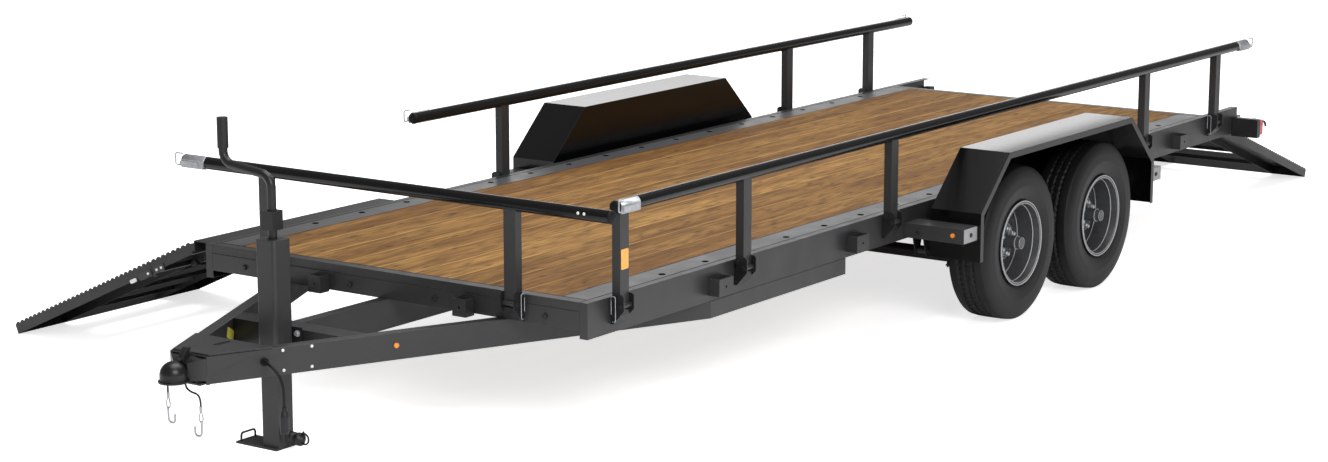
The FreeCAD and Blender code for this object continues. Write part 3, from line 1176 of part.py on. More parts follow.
def runner(name, start, end, low, high):
    """Return a channel with toothed flanges and a flat top, from one side to the other."""
    wall = size("ramp_wall")
    top = Part.makeBox(end - start, high - low, wall, V(-end, low, size("ramp_over") - wall))
    shape = top.fuse([comb(start, end, low), comb(start, end, high - wall)])
    piece = doc.addObject("Part::Feature", name)
    piece.Shape = shape
    return piece


def ear(name, sides, bore="ramp_pin+ramp_play"):
    """Return a plate that joins a flange to the hinge axis, with its bore."""
    pieces = []
    for number, side in enumerate(sides):
        pieces.append(rod("%sRing%d" % (name, number), ("0", side, "0"), "ramp_ear", "ramp_lug",
                          ALONG_Y))
        pieces.append(box("%sArm%d" % (name, number), [("-ramp_start-20", "ramp_start+20"),
                                                       (side, "ramp_lug"),
                                                       ("-ramp_ear", "2*ramp_ear")]))
    bores = [rod("%sBore%d" % (name, number), ("0", side + "-1", "0"), bore, "ramp_lug+2", ALONG_Y)
             for number, side in enumerate(sides)]
    return pieces, bores


def tread(name, at, low, high):
    """Return a cross tread: a channel between two runners."""
    outer = box(name + "Out", [("-(%s)-tread_width" % at, "tread_width"),
                               (low, "(%s)-(%s)" % (high, low)), ("ramp_over-tread_depth",
                                                                  "tread_depth")])
    inner = box(name + "In", [("-(%s)-tread_width+ramp_wall" % at, "tread_width-2*ramp_wall"),
                              (low + "-1", "(%s)-(%s)+2" % (high, low)),
                              ("ramp_over-tread_depth-1", "tread_depth-ramp_wall+1")])
    return cut(name, outer, [inner])


def tilted(name, pieces, length, turn, at):
    """Lower a ramp so that its end rests on the ground, turn it about Z and move it."""
    lowered = group(name + "Low", pieces)
    lowered.Placement = FreeCAD.Placement(V(0, 0, 0), FreeCAD.Rotation(V(0, -1, 0), 10))
    high = "(deck_height-ramp_axis_drop-fit_gap)"
    bind(lowered, "Placement.Rotation.Angle",
         "asin(%s/sqrt(%s^2+ramp_under^2))-atan(ramp_under/%s)" % (high, length, length))
    return place(group(name, [lowered]), at, turn)


side_turn = FreeCAD.Rotation(V(0, 0, 1), 90)
rear_at = ("-deck_length-rear_out", "0", "-ramp_axis_drop")
side_at = ("-side_front-side_width/2", "-deck_width/2-side_out", "-ramp_axis_drop")

rear_w = half_deck - size("rear_in")
run_w = size("runner_width")
rear_end = size("rear_length")
start_at = size("ramp_start")
rear_bands = [(-rear_w, -rear_w + run_w), (-run_w / 2, run_w / 2), (rear_w - run_w, rear_w)]
rear_pieces = [runner("RearRunner%d" % number, start_at, rear_end, low, high)
               for number, (low, high) in enumerate(rear_bands)]
rear_span = ("rear_in-deck_width/2", "deck_width-2*rear_in")
rear_pieces.append(box("RearToe", [("-rear_length", "ramp_wall"), rear_span,
                                   ("-ramp_under", "ramp_under+ramp_over")]))
rear_pieces.append(box("RearHead", [("-ramp_start-30", "30"), rear_span,
                                    ("-ramp_under", "ramp_wall+16")]))
rear_sides = ["rear_in-deck_width/2", "-deck_width/2+rear_in+runner_width-ramp_lug", "-runner_width/2",
              "runner_width/2-ramp_lug", "deck_width/2-rear_in-runner_width",
              "deck_width/2-rear_in-ramp_lug"]
ears, bores = ear("RearEar", rear_sides)
rear_frame = cut("RearRampFrame", fuse("RearRampBody", rear_pieces + ears), bores)
node("rear_ramp_frame", [tilted("RearRamp", [rear_frame], "rear_length", ALONG_Z, rear_at)])
rear_treads = []
bays = (("A", "-deck_width/2+rear_in+runner_width+fit_gap", "-runner_width/2-fit_gap"),
        ("B", "runner_width/2+fit_gap", "deck_width/2-rear_in-runner_width-fit_gap"))
for bay, low, high in bays:
    for number in range(4):
        rear_treads.append(tread("RearTread%s%d" % (bay, number),
                                 "ramp_start+40+%d*tread_pitch" % number, low, high))
node("rear_ramp_treads", [tilted("RearTreads", rear_treads, "rear_length", ALONG_Z, rear_at)])

side_w = size("side_width") / 2
side_run = size("side_runner")
fold_at = size("side_fold")
side_bands = [(-side_w, -side_w + side_run), (side_w - side_run, side_w)]
upper = [runner("SideUpper%d" % number, start_at, fold_at - 1, low, high)
         for number, (low, high) in enumerate(side_bands)]
upper.append(box("SideHead", [("-ramp_start-30", "30"), ("-side_width/2", "side_width"),
                              ("-ramp_under", "ramp_wall+16")]))
side_sides = ["-side_width/2", "-side_width/2+side_runner-ramp_lug", "side_width/2-side_runner",
              "side_width/2-ramp_lug"]
ears, bores = ear("SideEar", side_sides)


def fold_ring(name, edge, inward, half):
    """Return one knuckle of the fold hinge and the webs that join it to a runner's flange."""
    step = "ramp_lug" if inward > 0 else "-ramp_lug"
    shift = "%s(ramp_lug+fit_gap)" % ("+" if inward > 0 else "-") if half == "lower" else ""
    low = "%s%s%s" % (edge, shift, "" if inward > 0 else "-ramp_lug")
    x_low = "-side_fold" if half == "upper" else "-side_fold-30"
    ring = rod(name + "Ring", ("-side_fold", low, "-fold_drop"), "fold_pin+4", "ramp_lug", ALONG_Y)
    pieces = [ring, box(name + "Web", [(x_low, "30"), (low, "ramp_lug"),
                                       ("-fold_drop", "fold_drop-ramp_under+12")])]
    if half == "lower":
        wide = edge if inward > 0 else "%s-2*ramp_lug-fit_gap" % edge
        pieces.append(box(name + "Foot", [("-side_fold-34", "34-fold_pin-8"), (wide, "2*ramp_lug+fit_gap"),
                                          ("-fold_drop", "fold_drop-ramp_under+12")]))
    bore = rod(name + "Bore", ("-side_fold", low + "-1", "-fold_drop"), "fold_pin+ramp_play",
               "ramp_lug+2", ALONG_Y)
    return pieces, bore


fold_spots = [("-side_width/2", 1), ("-side_width/2+side_runner", -1),
              ("side_width/2-side_runner", 1), ("side_width/2", -1)]
upper_rings = []
lower_rings = []
lower_bores = []
fold_pins = []
for number, (edge, inward) in enumerate(fold_spots):
    upper_rings.extend(fold_ring("FoldU%d" % number, edge, inward, "upper")[0])
    start = edge if inward > 0 else "%s-2*ramp_lug-fit_gap-3" % edge
    fold_pins.append(rod("FoldPin%d" % number, ("-side_fold", start, "-fold_drop"), "fold_pin",
                         "2*ramp_lug+fit_gap+3", ALONG_Y))
    rings, bore = fold_ring("FoldL%d" % number, edge, inward, "lower")
    lower_rings.extend(rings)
    lower_bores.append(bore)
upper_frame = cut("SideUpperFrame", fuse("SideUpperBody", upper + ears + upper_rings + fold_pins), bores)
lower_runs = [runner("SideLower%d" % number, fold_at + 1, size("side_length"), low, high)
              for number, (low, high) in enumerate(side_bands)]
lower_runs.append(box("SideToe", [("-side_length", "ramp_wall"), ("-side_width/2", "side_width"),
                                  ("-ramp_under", "ramp_under+ramp_over")]))
lower_runs.append(box("SideTie", [("-side_fold-60", "25"), ("-side_width/2", "side_width"),
                                  ("-ramp_under", "ramp_wall+16")]))
lower_frame = cut("SideLowerFrame", fuse("SideLowerBody", lower_runs + lower_rings), lower_bores)
side_low = "-side_width/2+side_runner+fit_gap"
side_high = "side_width/2-side_runner-fit_gap"
upper_tread = tread("SideTread", "ramp_start+30", side_low, side_high)
low_treads = [tread("SideLowTread%d" % number, "side_fold+100+%d*tread_pitch*0.75" % number, side_low,
                    side_high) for number in range(3)]
node("side_ramp_upper", [tilted("SideUpperRamp", [upper_frame, upper_tread], "side_length",
                                side_turn, side_at)])
node("side_ramp_lower", [tilted("SideLowerRamp", [lower_frame] + low_treads, "side_length",
                                side_turn, side_at)])

# The fixed tread beside the deck, and the lugs and pins that carry both ramps
sill_low = "-deck_width/2-fit_gap-side_sill"
sill_shape = [(sill_low, "0"), (sill_low, "-50"), ("%s+ramp_wall" % sill_low, "-50"),
              ("%s+ramp_wall" % sill_low, "-ramp_wall"), ("-deck_width/2-fit_gap-ramp_wall", "-ramp_wall"),
              ("-deck_width/2-fit_gap-ramp_wall", "-50"), ("-deck_width/2-fit_gap", "-50"),
              ("-deck_width/2-fit_gap", "0")]
sill = slab("Sill", "YZ", [sill_shape], "-side_front-side_width", "side_width+40")
lugs = [sill]
axis_y = "(-deck_width/2-side_out)"
side_mid = "(-side_front-side_width/2)"
for number, spot in enumerate(("-side_width/2+ramp_lug+1", "-side_width/2+side_runner-2*ramp_lug-1",
                               "side_width/2-side_runner+ramp_lug+1", "side_width/2-2*ramp_lug-1")):
    x = "%s-(%s)-ramp_lug" % (side_mid, spot)
    lugs.append(rod("SideLugRing%d" % number, (x, axis_y, "-ramp_axis_drop"), "ramp_ear", "ramp_lug",
                    ALONG_X))
    lugs.append(box("SideLugArm%d" % number, [(x, "ramp_lug"), (axis_y, "side_out-side_sill-fit_gap+2"),
                                              ("-ramp_axis_drop-ramp_ear", "2*ramp_ear")]))
lugs.append(rod("SideHingePin", ("-side_front-side_width-4", axis_y, "-ramp_axis_drop"), "ramp_pin",
                "side_width+8", ALONG_X))
rear_lugs = []
rear_x = "(-deck_length-rear_out)"
for number, spot in enumerate(("-deck_width/2+rear_in+ramp_lug+1",
                               "-deck_width/2+rear_in+runner_width-2*ramp_lug-1",
                               "-runner_width/2+ramp_lug+1", "runner_width/2-2*ramp_lug-1",
                               "deck_width/2-rear_in-runner_width+ramp_lug+1",
                               "deck_width/2-rear_in-2*ramp_lug-1")):
    rear_lugs.append(rod("RearLugRing%d" % number, (rear_x, spot, "-ramp_axis_drop"), "ramp_ear",
                         "ramp_lug", ALONG_Y))
    rear_lugs.append(box("RearLugArm%d" % number, [(rear_x, "rear_out-fit_gap"), (spot, "ramp_lug"),
                                                   ("-ramp_axis_drop-ramp_ear", "2*ramp_ear")]))
rear_lugs.append(rod("RearHingePin", (rear_x, "-deck_width/2+rear_in-4", "-ramp_axis_drop"), "ramp_pin",
                     "deck_width-2*rear_in+8", ALONG_Y))
node("side_sill", [fuse("SideSill", lugs)])
node("rear_hinge", [fuse("RearHinge", rear_lugs)] + latch_rods)

# Cords: the wiring lead with its plug, and two safety cables with their hooks
grommet_x = size("grommet_forward")
grommet_at = V(grommet_x, half_deck - (grommet_x + kink) * math.tan(tongue_turn),
               -size("end_depth") - size("grommet_down"))
grommet = doc.addObject("Part::Feature", "Grommet")
grommet.Shape = Part.makeCylinder(15, 8, grommet_at + normal * 0.3, normal).fuse(
    Part.makeCylinder(size("lead_radius") + 3, 22, grommet_at + normal * 0.3, normal))
node("wiring_grommet", [grommet])
lead_from = grommet_at + normal * 22.3


def cord(name, points, radius):
    """Return a cord's tube and print its length, radii and volume against section times length."""
    tube_part, length, radii = wire(name, points, radius)
    volume = math.pi * radius ** 2 * length
    print("%s: length %.1f, radii %s, volume ratio %.4f" % (
        name, length, [round(value, 1) for value in radii], tube_part.Shape.Volume / volume))
    shift = V(-size("ball_forward"), 0, size("ball_drop"))
    print("   points", [tuple(round(value, 2) for value in V(*point) + shift) for point in points])
    return tube_part


LEAD_STEPS = [(12.68, 27.19, 0), (-2, 27.2, -20.3), (-8, 16.8, -33.2), (-4.2, 7.4, -41.1),
              (0, 0, -59)]
lead_points = [tuple(lead_from)]
for ahead, aside, up in LEAD_STEPS:
    lead_points.append(tuple(V(*lead_points[-1]) + V(ahead, aside, up)))
node("wiring_lead", [cord("WiringLead", lead_points, size("lead_radius"))])
plug_top = lead_points[-1]
plug_profile = [("0", "0"), ("lead_radius+3", "0"), ("lead_radius+5", "-16"),
                ("lead_radius+9", "-26"), ("lead_radius+11", "-36"), ("lead_radius+11", "-92"),
                ("lead_radius+8", "-100"), ("0", "-100")]
plug = turned("Plug", plug_profile, ("0", "0", "0"), ALONG_Z)
prongs = [box("Prong%d" % number, [("%d" % (number * 9 - 11), "4"), ("-6", "12"), ("-132", "34")])
          for number in range(3)]
plug_body = group("PlugPlaced", [fuse("PlugBody", [plug] + prongs)])
plug_body.Placement = FreeCAD.Placement(V(*plug_top), ALONG_Z)
node("wiring_plug", [plug_body])

bar_low = -size("end_depth") - size("tongue_depth") - size("fit_gap") - 8
bar_x = size("tongue_tip") - 10
right_y = -122
left_y = 42
right_points = [(bar_x, right_y, bar_low), (bar_x, right_y, bar_low - 50)]
left_points = [(bar_x, -32, bar_low), (bar_x, -32, bar_low - 18), (bar_x, -8, bar_low - 33),
               (bar_x, 28, bar_low - 36), (bar_x, left_y, bar_low - 55), (bar_x, left_y, bar_low - 80)]
node("safety_cable_right", [cord("CableRight", right_points, size("cable_radius"))])
node("safety_cable_left", [cord("CableLeft", left_points, size("cable_radius"))])


def hook(name, spot, aside):
    """Return a ferrule, a wire eye and an open hook below a cable's end."""
    x, y, z = spot
    sleeve = doc.addObject("Part::Feature", name + "Ferrule")
    sleeve.Shape = Part.makeCylinder(size("cable_radius") + 2, 22, V(x, y, z), V(0, 0, -1))
    eye = wire(name + "Eye", [(x, y - 3, z - 20), (x, y - 10, z - 44), (x, y - 6, z - 60),
                              (x, y + 6, z - 60), (x, y + 10, z - 44), (x, y + 3, z - 20)], 2.5, 6)[0]
    bend = wire(name + "Bend", [(x, y - aside * 3, z - 56), (x, y, z - 112), (x, y + aside * 32, z - 114),
                                (x, y + aside * 32, z - 80)], 4, 14)[0]
    return fuse(name, [sleeve, eye, bend])


node("safety_hooks", [hook("HookRight", right_points[-1], 1), hook("HookLeft", left_points[-1], -1)])

doc.recompute()
faults = [item.Name for item in doc.Objects if "Invalid" in item.State or "Error" in item.State]
if faults:
    raise RuntimeError("these objects failed: %s" % ", ".join(faults))
for label, part in nodes.items():
    if part.Shape.isNull() or not part.Shape.isValid():
        raise RuntimeError("the shape of %s is not valid" % label)
os.makedirs("parts", exist_ok=True)
for label, part in nodes.items():
    part.Shape.exportStep("parts/%s.step" % label)
print("wrote %d sub-parts" % len(nodes))
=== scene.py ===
"""Looks of a tandem-axle plant trailer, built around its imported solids.

Frame: +X forward, +Y to the left, +Z up, in metres. The origin is the centre of the ball socket.
"""
import json
import math
import bmesh
import bpy
import numpy as np
from bpy.props import FloatProperty, PointerProperty
from mathutils import Matrix, Vector


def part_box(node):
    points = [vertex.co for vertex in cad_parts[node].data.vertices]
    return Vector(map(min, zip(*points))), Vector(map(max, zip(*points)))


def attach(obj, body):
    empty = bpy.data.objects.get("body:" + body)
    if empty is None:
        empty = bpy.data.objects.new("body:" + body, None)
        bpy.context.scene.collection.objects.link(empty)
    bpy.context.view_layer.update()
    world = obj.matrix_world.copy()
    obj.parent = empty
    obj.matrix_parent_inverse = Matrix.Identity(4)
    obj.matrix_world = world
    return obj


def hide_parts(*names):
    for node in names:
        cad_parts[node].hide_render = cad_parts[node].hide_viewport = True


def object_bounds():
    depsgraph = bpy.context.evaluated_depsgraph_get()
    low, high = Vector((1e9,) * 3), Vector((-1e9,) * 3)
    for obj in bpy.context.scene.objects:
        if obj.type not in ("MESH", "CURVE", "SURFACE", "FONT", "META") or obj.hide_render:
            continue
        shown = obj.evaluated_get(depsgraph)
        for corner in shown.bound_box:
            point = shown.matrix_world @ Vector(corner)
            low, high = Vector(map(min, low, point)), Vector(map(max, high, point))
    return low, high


bl_info = {
    "name": "Plant trailer looks",
    "version": (1, 0, 0),
    "blender": (4, 5, 0),
    "location": "View3D > Sidebar > Trailer",
    "description": "Adds tread, fasteners, cords and finishes to a plant trailer",
    "category": "Object",
}

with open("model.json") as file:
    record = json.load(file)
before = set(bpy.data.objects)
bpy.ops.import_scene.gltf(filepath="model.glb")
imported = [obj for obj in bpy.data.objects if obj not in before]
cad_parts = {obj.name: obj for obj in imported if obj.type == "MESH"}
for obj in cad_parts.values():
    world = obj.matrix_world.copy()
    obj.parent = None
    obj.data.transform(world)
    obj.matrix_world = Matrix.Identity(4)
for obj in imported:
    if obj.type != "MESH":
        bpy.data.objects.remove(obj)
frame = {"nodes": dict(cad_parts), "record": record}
NODES = frame["nodes"]
CAD_LOW, CAD_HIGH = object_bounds()
MM = 0.001
# The deck's front top edge lies this far behind the ball and this far above it
BALL_FORWARD = 1.175
DECK_TOP = 0.170
GROUND = float(CAD_LOW.z)
# The turn that lays a wheel's own Z along its axle
ALONG_Y = Matrix.Rotation(math.radians(-90), 3, "X")


def deck(x, y, z):
    """Return a point given from the deck's front top edge, in millimetres, in the part's frame."""
    return np.array((x * MM - BALL_FORWARD, y * MM, z * MM + DECK_TOP))


def linear(text):
    """Turn an sRGB hex colour into a linear colour with alpha."""
    parts = [int(text[spot:spot + 2], 16) / 255 for spot in (1, 3, 5)]
    return [c / 12.92 if c <= 0.04045 else ((c + 0.055) / 1.055) ** 2.4 for c in parts] + [1.0]


# Materials
WHITE = linear("#ffffff")
# Soft noise seldom leaves this band, so a mask is spread over it
NOISE_LOW, NOISE_HIGH = 0.3, 0.7


def add(tree, kind, settings=None, links=None):
    """Add one node, set its properties, and fill its sockets with values or other outputs."""
    node = tree.nodes.new(kind)
    for name, value in (settings or {}).items():
        setattr(node, name, value)
    for name, value in (links or {}).items():
        if isinstance(value, bpy.types.NodeSocket):
            tree.links.new(value, node.inputs[name])
        else:
            node.inputs[name].default_value = value
    return node


def start(name, colour, roughness, metallic=0.0, ior=None):
    """Start a material and return it with its tree, shader and Object coordinates."""
    material = bpy.data.materials.new(name)
    material.use_nodes = True
    tree = material.node_tree
    shader = tree.nodes["Principled BSDF"]
    shader.inputs["Base Color"].default_value = linear(colour)
    shader.inputs["Roughness"].default_value = roughness
    shader.inputs["Metallic"].default_value = metallic
    if ior:
        shader.inputs["IOR"].default_value = ior
    spot = add(tree, "ShaderNodeTexCoord").outputs["Object"]
    return material, tree, shader, spot


def vary(tree, shader, spot, colour, other, scale):
    """Mix two colours by soft noise on the shader's base colour."""
    noise = add(tree, "ShaderNodeTexNoise", None, {"Vector": spot, "Scale": scale, "Detail": 5.0})
    mask = add(tree, "ShaderNodeMapRange", None,
               {"Value": noise.outputs["Fac"], "From Min": NOISE_LOW, "From Max": NOISE_HIGH})
    mix = add(tree, "ShaderNodeMix", {"data_type": "RGBA"},
              {0: mask.outputs["Result"], 6: linear(colour), 7: linear(other)})
    tree.links.new(mix.outputs[2], shader.inputs["Base Color"])


def rough_by(tree, shader, spot, scale, low, high):
    """Let roughness wander between two values with noise."""
    noise = add(tree, "ShaderNodeTexNoise", None, {"Vector": spot, "Scale": scale, "Detail": 4.0})
    span = add(tree, "ShaderNodeMapRange", None, {
        "Value": noise.outputs["Fac"], "From Min": NOISE_LOW, "From Max": NOISE_HIGH,
        "To Min": low, "To Max": high})
    tree.links.new(span.outputs["Result"], shader.inputs["Roughness"])


def raise_by(tree, shader, height, strength, distance):
    """Bump the shader's normal by a height."""
    bump = add(tree, "ShaderNodeBump", None,
               {"Height": height, "Strength": strength, "Distance": distance})
    tree.links.new(bump.outputs["Normal"], shader.inputs["Normal"])


def powder_coat(name, colour, other, roughness):
    """Polyester powder coat, baked: an even satin film with a faint orange peel 3 mm across."""
    material, tree, shader, spot = start(name, colour, roughness)
    vary(tree, shader, spot, colour, other, 2.2)
    rough_by(tree, shader, spot, 9.0, roughness - 0.04, roughness + 0.05)
    peel = add(tree, "ShaderNodeTexNoise", None, {"Vector": spot, "Scale": 320.0, "Detail": 1.0})
    raise_by(tree, shader, peel.outputs["Fac"], 0.10, 0.0004)
    return material


def two_tone(name, shank, nose, roughness, low, high):
    """Powder coat on a coupler: dull on the welded shank, black on the cast nose.

    The colour turns between two places on X. The orange peel is 4 mm across.
    """
    material, tree, shader, spot = start(name, shank, roughness)
    split = add(tree, "ShaderNodeSeparateXYZ", None, {0: spot})
    mask = add(tree, "ShaderNodeMapRange", None,
               {"Value": split.outputs["X"], "From Min": low, "From Max": high})
    mix = add(tree, "ShaderNodeMix", {"data_type": "RGBA"},
              {0: mask.outputs["Result"], 6: linear(shank), 7: linear(nose)})
    tree.links.new(mix.outputs[2], shader.inputs["Base Color"])
    peel = add(tree, "ShaderNodeTexNoise", None, {"Vector": spot, "Scale": 260.0, "Detail": 2.0})
    raise_by(tree, shader, peel.outputs["Fac"], 0.12, 0.0004)
    return material


def gloss_enamel(name, colour, other, roughness):
    """Gloss enamel, sprayed: a deep black that mirrors the room, with soft waves 7 mm wide."""
    material, tree, shader, spot = start(name, colour, roughness)
    shader.inputs["Specular IOR Level"].default_value = 0.4
    vary(tree, shader, spot, colour, other, 3.0)
    peel = add(tree, "ShaderNodeTexNoise", None, {"Vector": spot, "Scale": 140.0, "Detail": 1.0})
    raise_by(tree, shader, peel.outputs["Fac"], 0.05, 0.0004)
    return material


def plated(name, colour, other, roughness):
    """Zinc plating on mild steel under its dull chromate film, with faint spangle 8 mm across.

    Half metallic, since the film hides part of the metal; its tone drifts in patches of 17 mm.
    """
    material, tree, shader, spot = start(name, colour, roughness, 0.6)
    vary(tree, shader, spot, colour, other, 60.0)
    rough_by(tree, shader, spot, 120.0, roughness - 0.06, roughness + 0.1)
    return material


def treated_pine(name, light, warm, dark):
    """Pressure-treated southern pine, planed: growth rings run along each board with dark knots.

    Boards lie BOARD_PITCH apart across the deck; a board's own number shifts its grain and tint.
    """
    material, tree, shader, spot = start(name, light, 0.72)
    shader.inputs["Specular IOR Level"].default_value = 0.25
    split = add(tree, "ShaderNodeSeparateXYZ", None, {0: spot})
    board = add(tree, "ShaderNodeMath", {"operation": "MULTIPLY_ADD"},
                {0: split.outputs["Y"], 1: 1 / BOARD_PITCH, 2: 20.0 + BOARD_SHIFT})
    number = add(tree, "ShaderNodeMath", {"operation": "FLOOR"}, {0: board.outputs[0]})
    # A chance number for each board moves its grain along by up to 37 m
    chance = add(tree, "ShaderNodeTexWhiteNoise", {"noise_dimensions": "1D"},
                 {"W": number.outputs[0]})
    shift = add(tree, "ShaderNodeMath", {"operation": "MULTIPLY"},
                {0: chance.outputs["Value"], 1: 37.0})
    moved = add(tree, "ShaderNodeCombineXYZ", None, {
        0: add(tree, "ShaderNodeMath", {"operation": "ADD"},
               {0: split.outputs["X"], 1: shift.outputs[0]}).outputs[0],
        1: split.outputs["Y"], 2: split.outputs["Z"]})
    # Rings: bands 10 to 20 mm apart, drawn out along the board and bent by slow noise
    bend = add(tree, "ShaderNodeMapping", None,
               {"Vector": moved.outputs[0], "Scale": (0.8, 9.0, 9.0)})
    sway = add(tree, "ShaderNodeTexNoise", None,
               {"Vector": bend.outputs[0], "Scale": 1.0, "Detail": 3.0})
    turn = add(tree, "ShaderNodeMath", {"operation": "SINE"}, {
        0: add(tree, "ShaderNodeMath", {"operation": "MULTIPLY"},
               {0: sway.outputs["Fac"], 1: 75.0}).outputs[0]})
    # Patches: heartwood and sapwood in streaks 67 mm wide and 0.6 m long
    slow = add(tree, "ShaderNodeMapping", None,
               {"Vector": moved.outputs[0], "Scale": (1.6, 15.0, 9.0)})
    patch = add(tree, "ShaderNodeTexNoise", None,
                {"Vector": slow.outputs[0], "Scale": 1.0, "Detail": 4.0})
    # Fibres: streaks 10 mm wide and 110 mm long, coarser than real ones, which wouldn't show
    comb = add(tree, "ShaderNodeMapping", None,
               {"Vector": moved.outputs[0], "Scale": (9.0, 95.0, 90.0)})
    fibre = add(tree, "ShaderNodeTexNoise", None,
                {"Vector": comb.outputs[0], "Scale": 1.0, "Detail": 5.0})
    # Knots: dark eyes some 50 mm long and 15 mm wide, one to each cell of 385 by 125 mm
    cell = add(tree, "ShaderNodeMapping", None,
               {"Vector": moved.outputs[0], "Scale": (2.6, 8.0, 1.0)})
    knot = add(tree, "ShaderNodeTexVoronoi", {"voronoi_dimensions": "2D"},
               {"Vector": cell.outputs[0], "Scale": 1.0})
    spotty = add(tree, "ShaderNodeMapRange", None, {
        "Value": knot.outputs["Distance"], "From Min": 0.02, "From Max": 0.09,
        "To Min": 1.0, "To Max": 0.0})
    blend = add(tree, "ShaderNodeMapRange", None,
                {"Value": patch.outputs["Fac"], "From Min": 0.38, "From Max": 0.62})
    rings_mask = add(tree, "ShaderNodeMapRange", None, {
        "Value": turn.outputs[0], "From Min": 0.1, "From Max": 1.0, "To Min": 0.0, "To Max": 0.55})
    ground = add(tree, "ShaderNodeMix", {"data_type": "RGBA"},
                 {0: blend.outputs["Result"], 6: linear(light), 7: linear(warm)})
    base = add(tree, "ShaderNodeMix", {"data_type": "RGBA"},
               {0: rings_mask.outputs["Result"], 6: ground.outputs[2], 7: linear(dark)})
    streak = add(tree, "ShaderNodeMapRange", None, {
        "Value": fibre.outputs["Fac"], "From Min": 0.50, "From Max": 0.70,
        "To Min": 0.0, "To Max": 0.7})
    grain = add(tree, "ShaderNodeMix", {"data_type": "RGBA"},
                {0: streak.outputs["Result"], 6: base.outputs[2], 7: linear(dark)})
    tint = add(tree, "ShaderNodeMix", {"data_type": "RGBA", "blend_type": "MULTIPLY"}, {
        0: 1.0, 6: grain.outputs[2], 7: add(tree, "ShaderNodeMix", {"data_type": "RGBA"}, {
            0: chance.outputs["Value"], 6: linear("#d2cabd"), 7: WHITE}).outputs[2]})
    eyes = add(tree, "ShaderNodeMix", {"data_type": "RGBA"}, {
        0: add(tree, "ShaderNodeMath", {"operation": "MULTIPLY"},
               {0: spotty.outputs["Result"], 1: 0.75}).outputs[0],
        6: tint.outputs[2], 7: linear("#33200f")})
    # Board edges: worn pale over the last 3 mm
    part = add(tree, "ShaderNodeMath", {"operation": "FRACT"}, {0: board.outputs[0]})
    side = add(tree, "ShaderNodeMath", {"operation": "SUBTRACT"}, {0: part.outputs[0], 1: 0.5})
    away = add(tree, "ShaderNodeMath", {"operation": "ABSOLUTE"}, {0: side.outputs[0]})
    worn = add(tree, "ShaderNodeMapRange", None, {
        "Value": away.outputs[0], "From Min": 0.470, "From Max": 0.486,
        "To Min": 0.0, "To Max": 0.5})
    knotted = add(tree, "ShaderNodeMix", {"data_type": "RGBA"},
                  {0: worn.outputs["Result"], 6: eyes.outputs[2], 7: linear("#cfa66c")})
    tree.links.new(knotted.outputs[2], shader.inputs["Base Color"])
    raise_by(tree, shader, fibre.outputs["Fac"], 0.35, 0.001)
    return material


def moulded(name, colour, other, roughness):
    """Moulded rubber or plastic: matt, with a fine mould grain of about 2 mm."""
    material, tree, shader, spot = start(name, colour, roughness)
    shader.inputs["Specular IOR Level"].default_value = 0.3
    vary(tree, shader, spot, colour, other, 14.0)
    skin = add(tree, "ShaderNodeTexNoise", None, {"Vector": spot, "Scale": 420.0, "Detail": 2.0})
    raise_by(tree, shader, skin.outputs["Fac"], 0.12, 0.0005)
    return material


def shade_black(name, colour):
    """Painted shade of a bore: dead black, gives back no gloss at all."""
    material, tree, shader, spot = start(name, colour, 1.0)
    shader.inputs["Specular IOR Level"].default_value = 0.0
    vary(tree, shader, spot, colour, "#050505", 40.0)
    return material


def lens(name, colour, other, scale):
    """Moulded acrylic lens with prism ribs 2 to 3.5 mm apart behind a clear gloss."""
    material, tree, shader, spot = start(name, colour, 0.12)
    rib = add(tree, "ShaderNodeTexWave", {"bands_direction": "Z"}, {"Vector": spot, "Scale": scale})
    mix = add(tree, "ShaderNodeMix", {"data_type": "RGBA"},
              {0: rib.outputs["Fac"], 6: linear(colour), 7: linear(other)})
    tree.links.new(mix.outputs[2], shader.inputs["Base Color"])
    raise_by(tree, shader, rib.outputs["Fac"], 0.3, 0.002)
    shader.inputs["Coat Weight"].default_value = 0.6
    return material


BOARD_LOW, BOARD_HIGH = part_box("deck_planks")
BOARD_COUNT = 9
BOARD_GAP = 0.004
BOARD_PITCH = (BOARD_HIGH.y - BOARD_LOW.y + BOARD_GAP) / BOARD_COUNT
BOARD_SHIFT = -(BOARD_LOW.y - BOARD_GAP / 2) / BOARD_PITCH
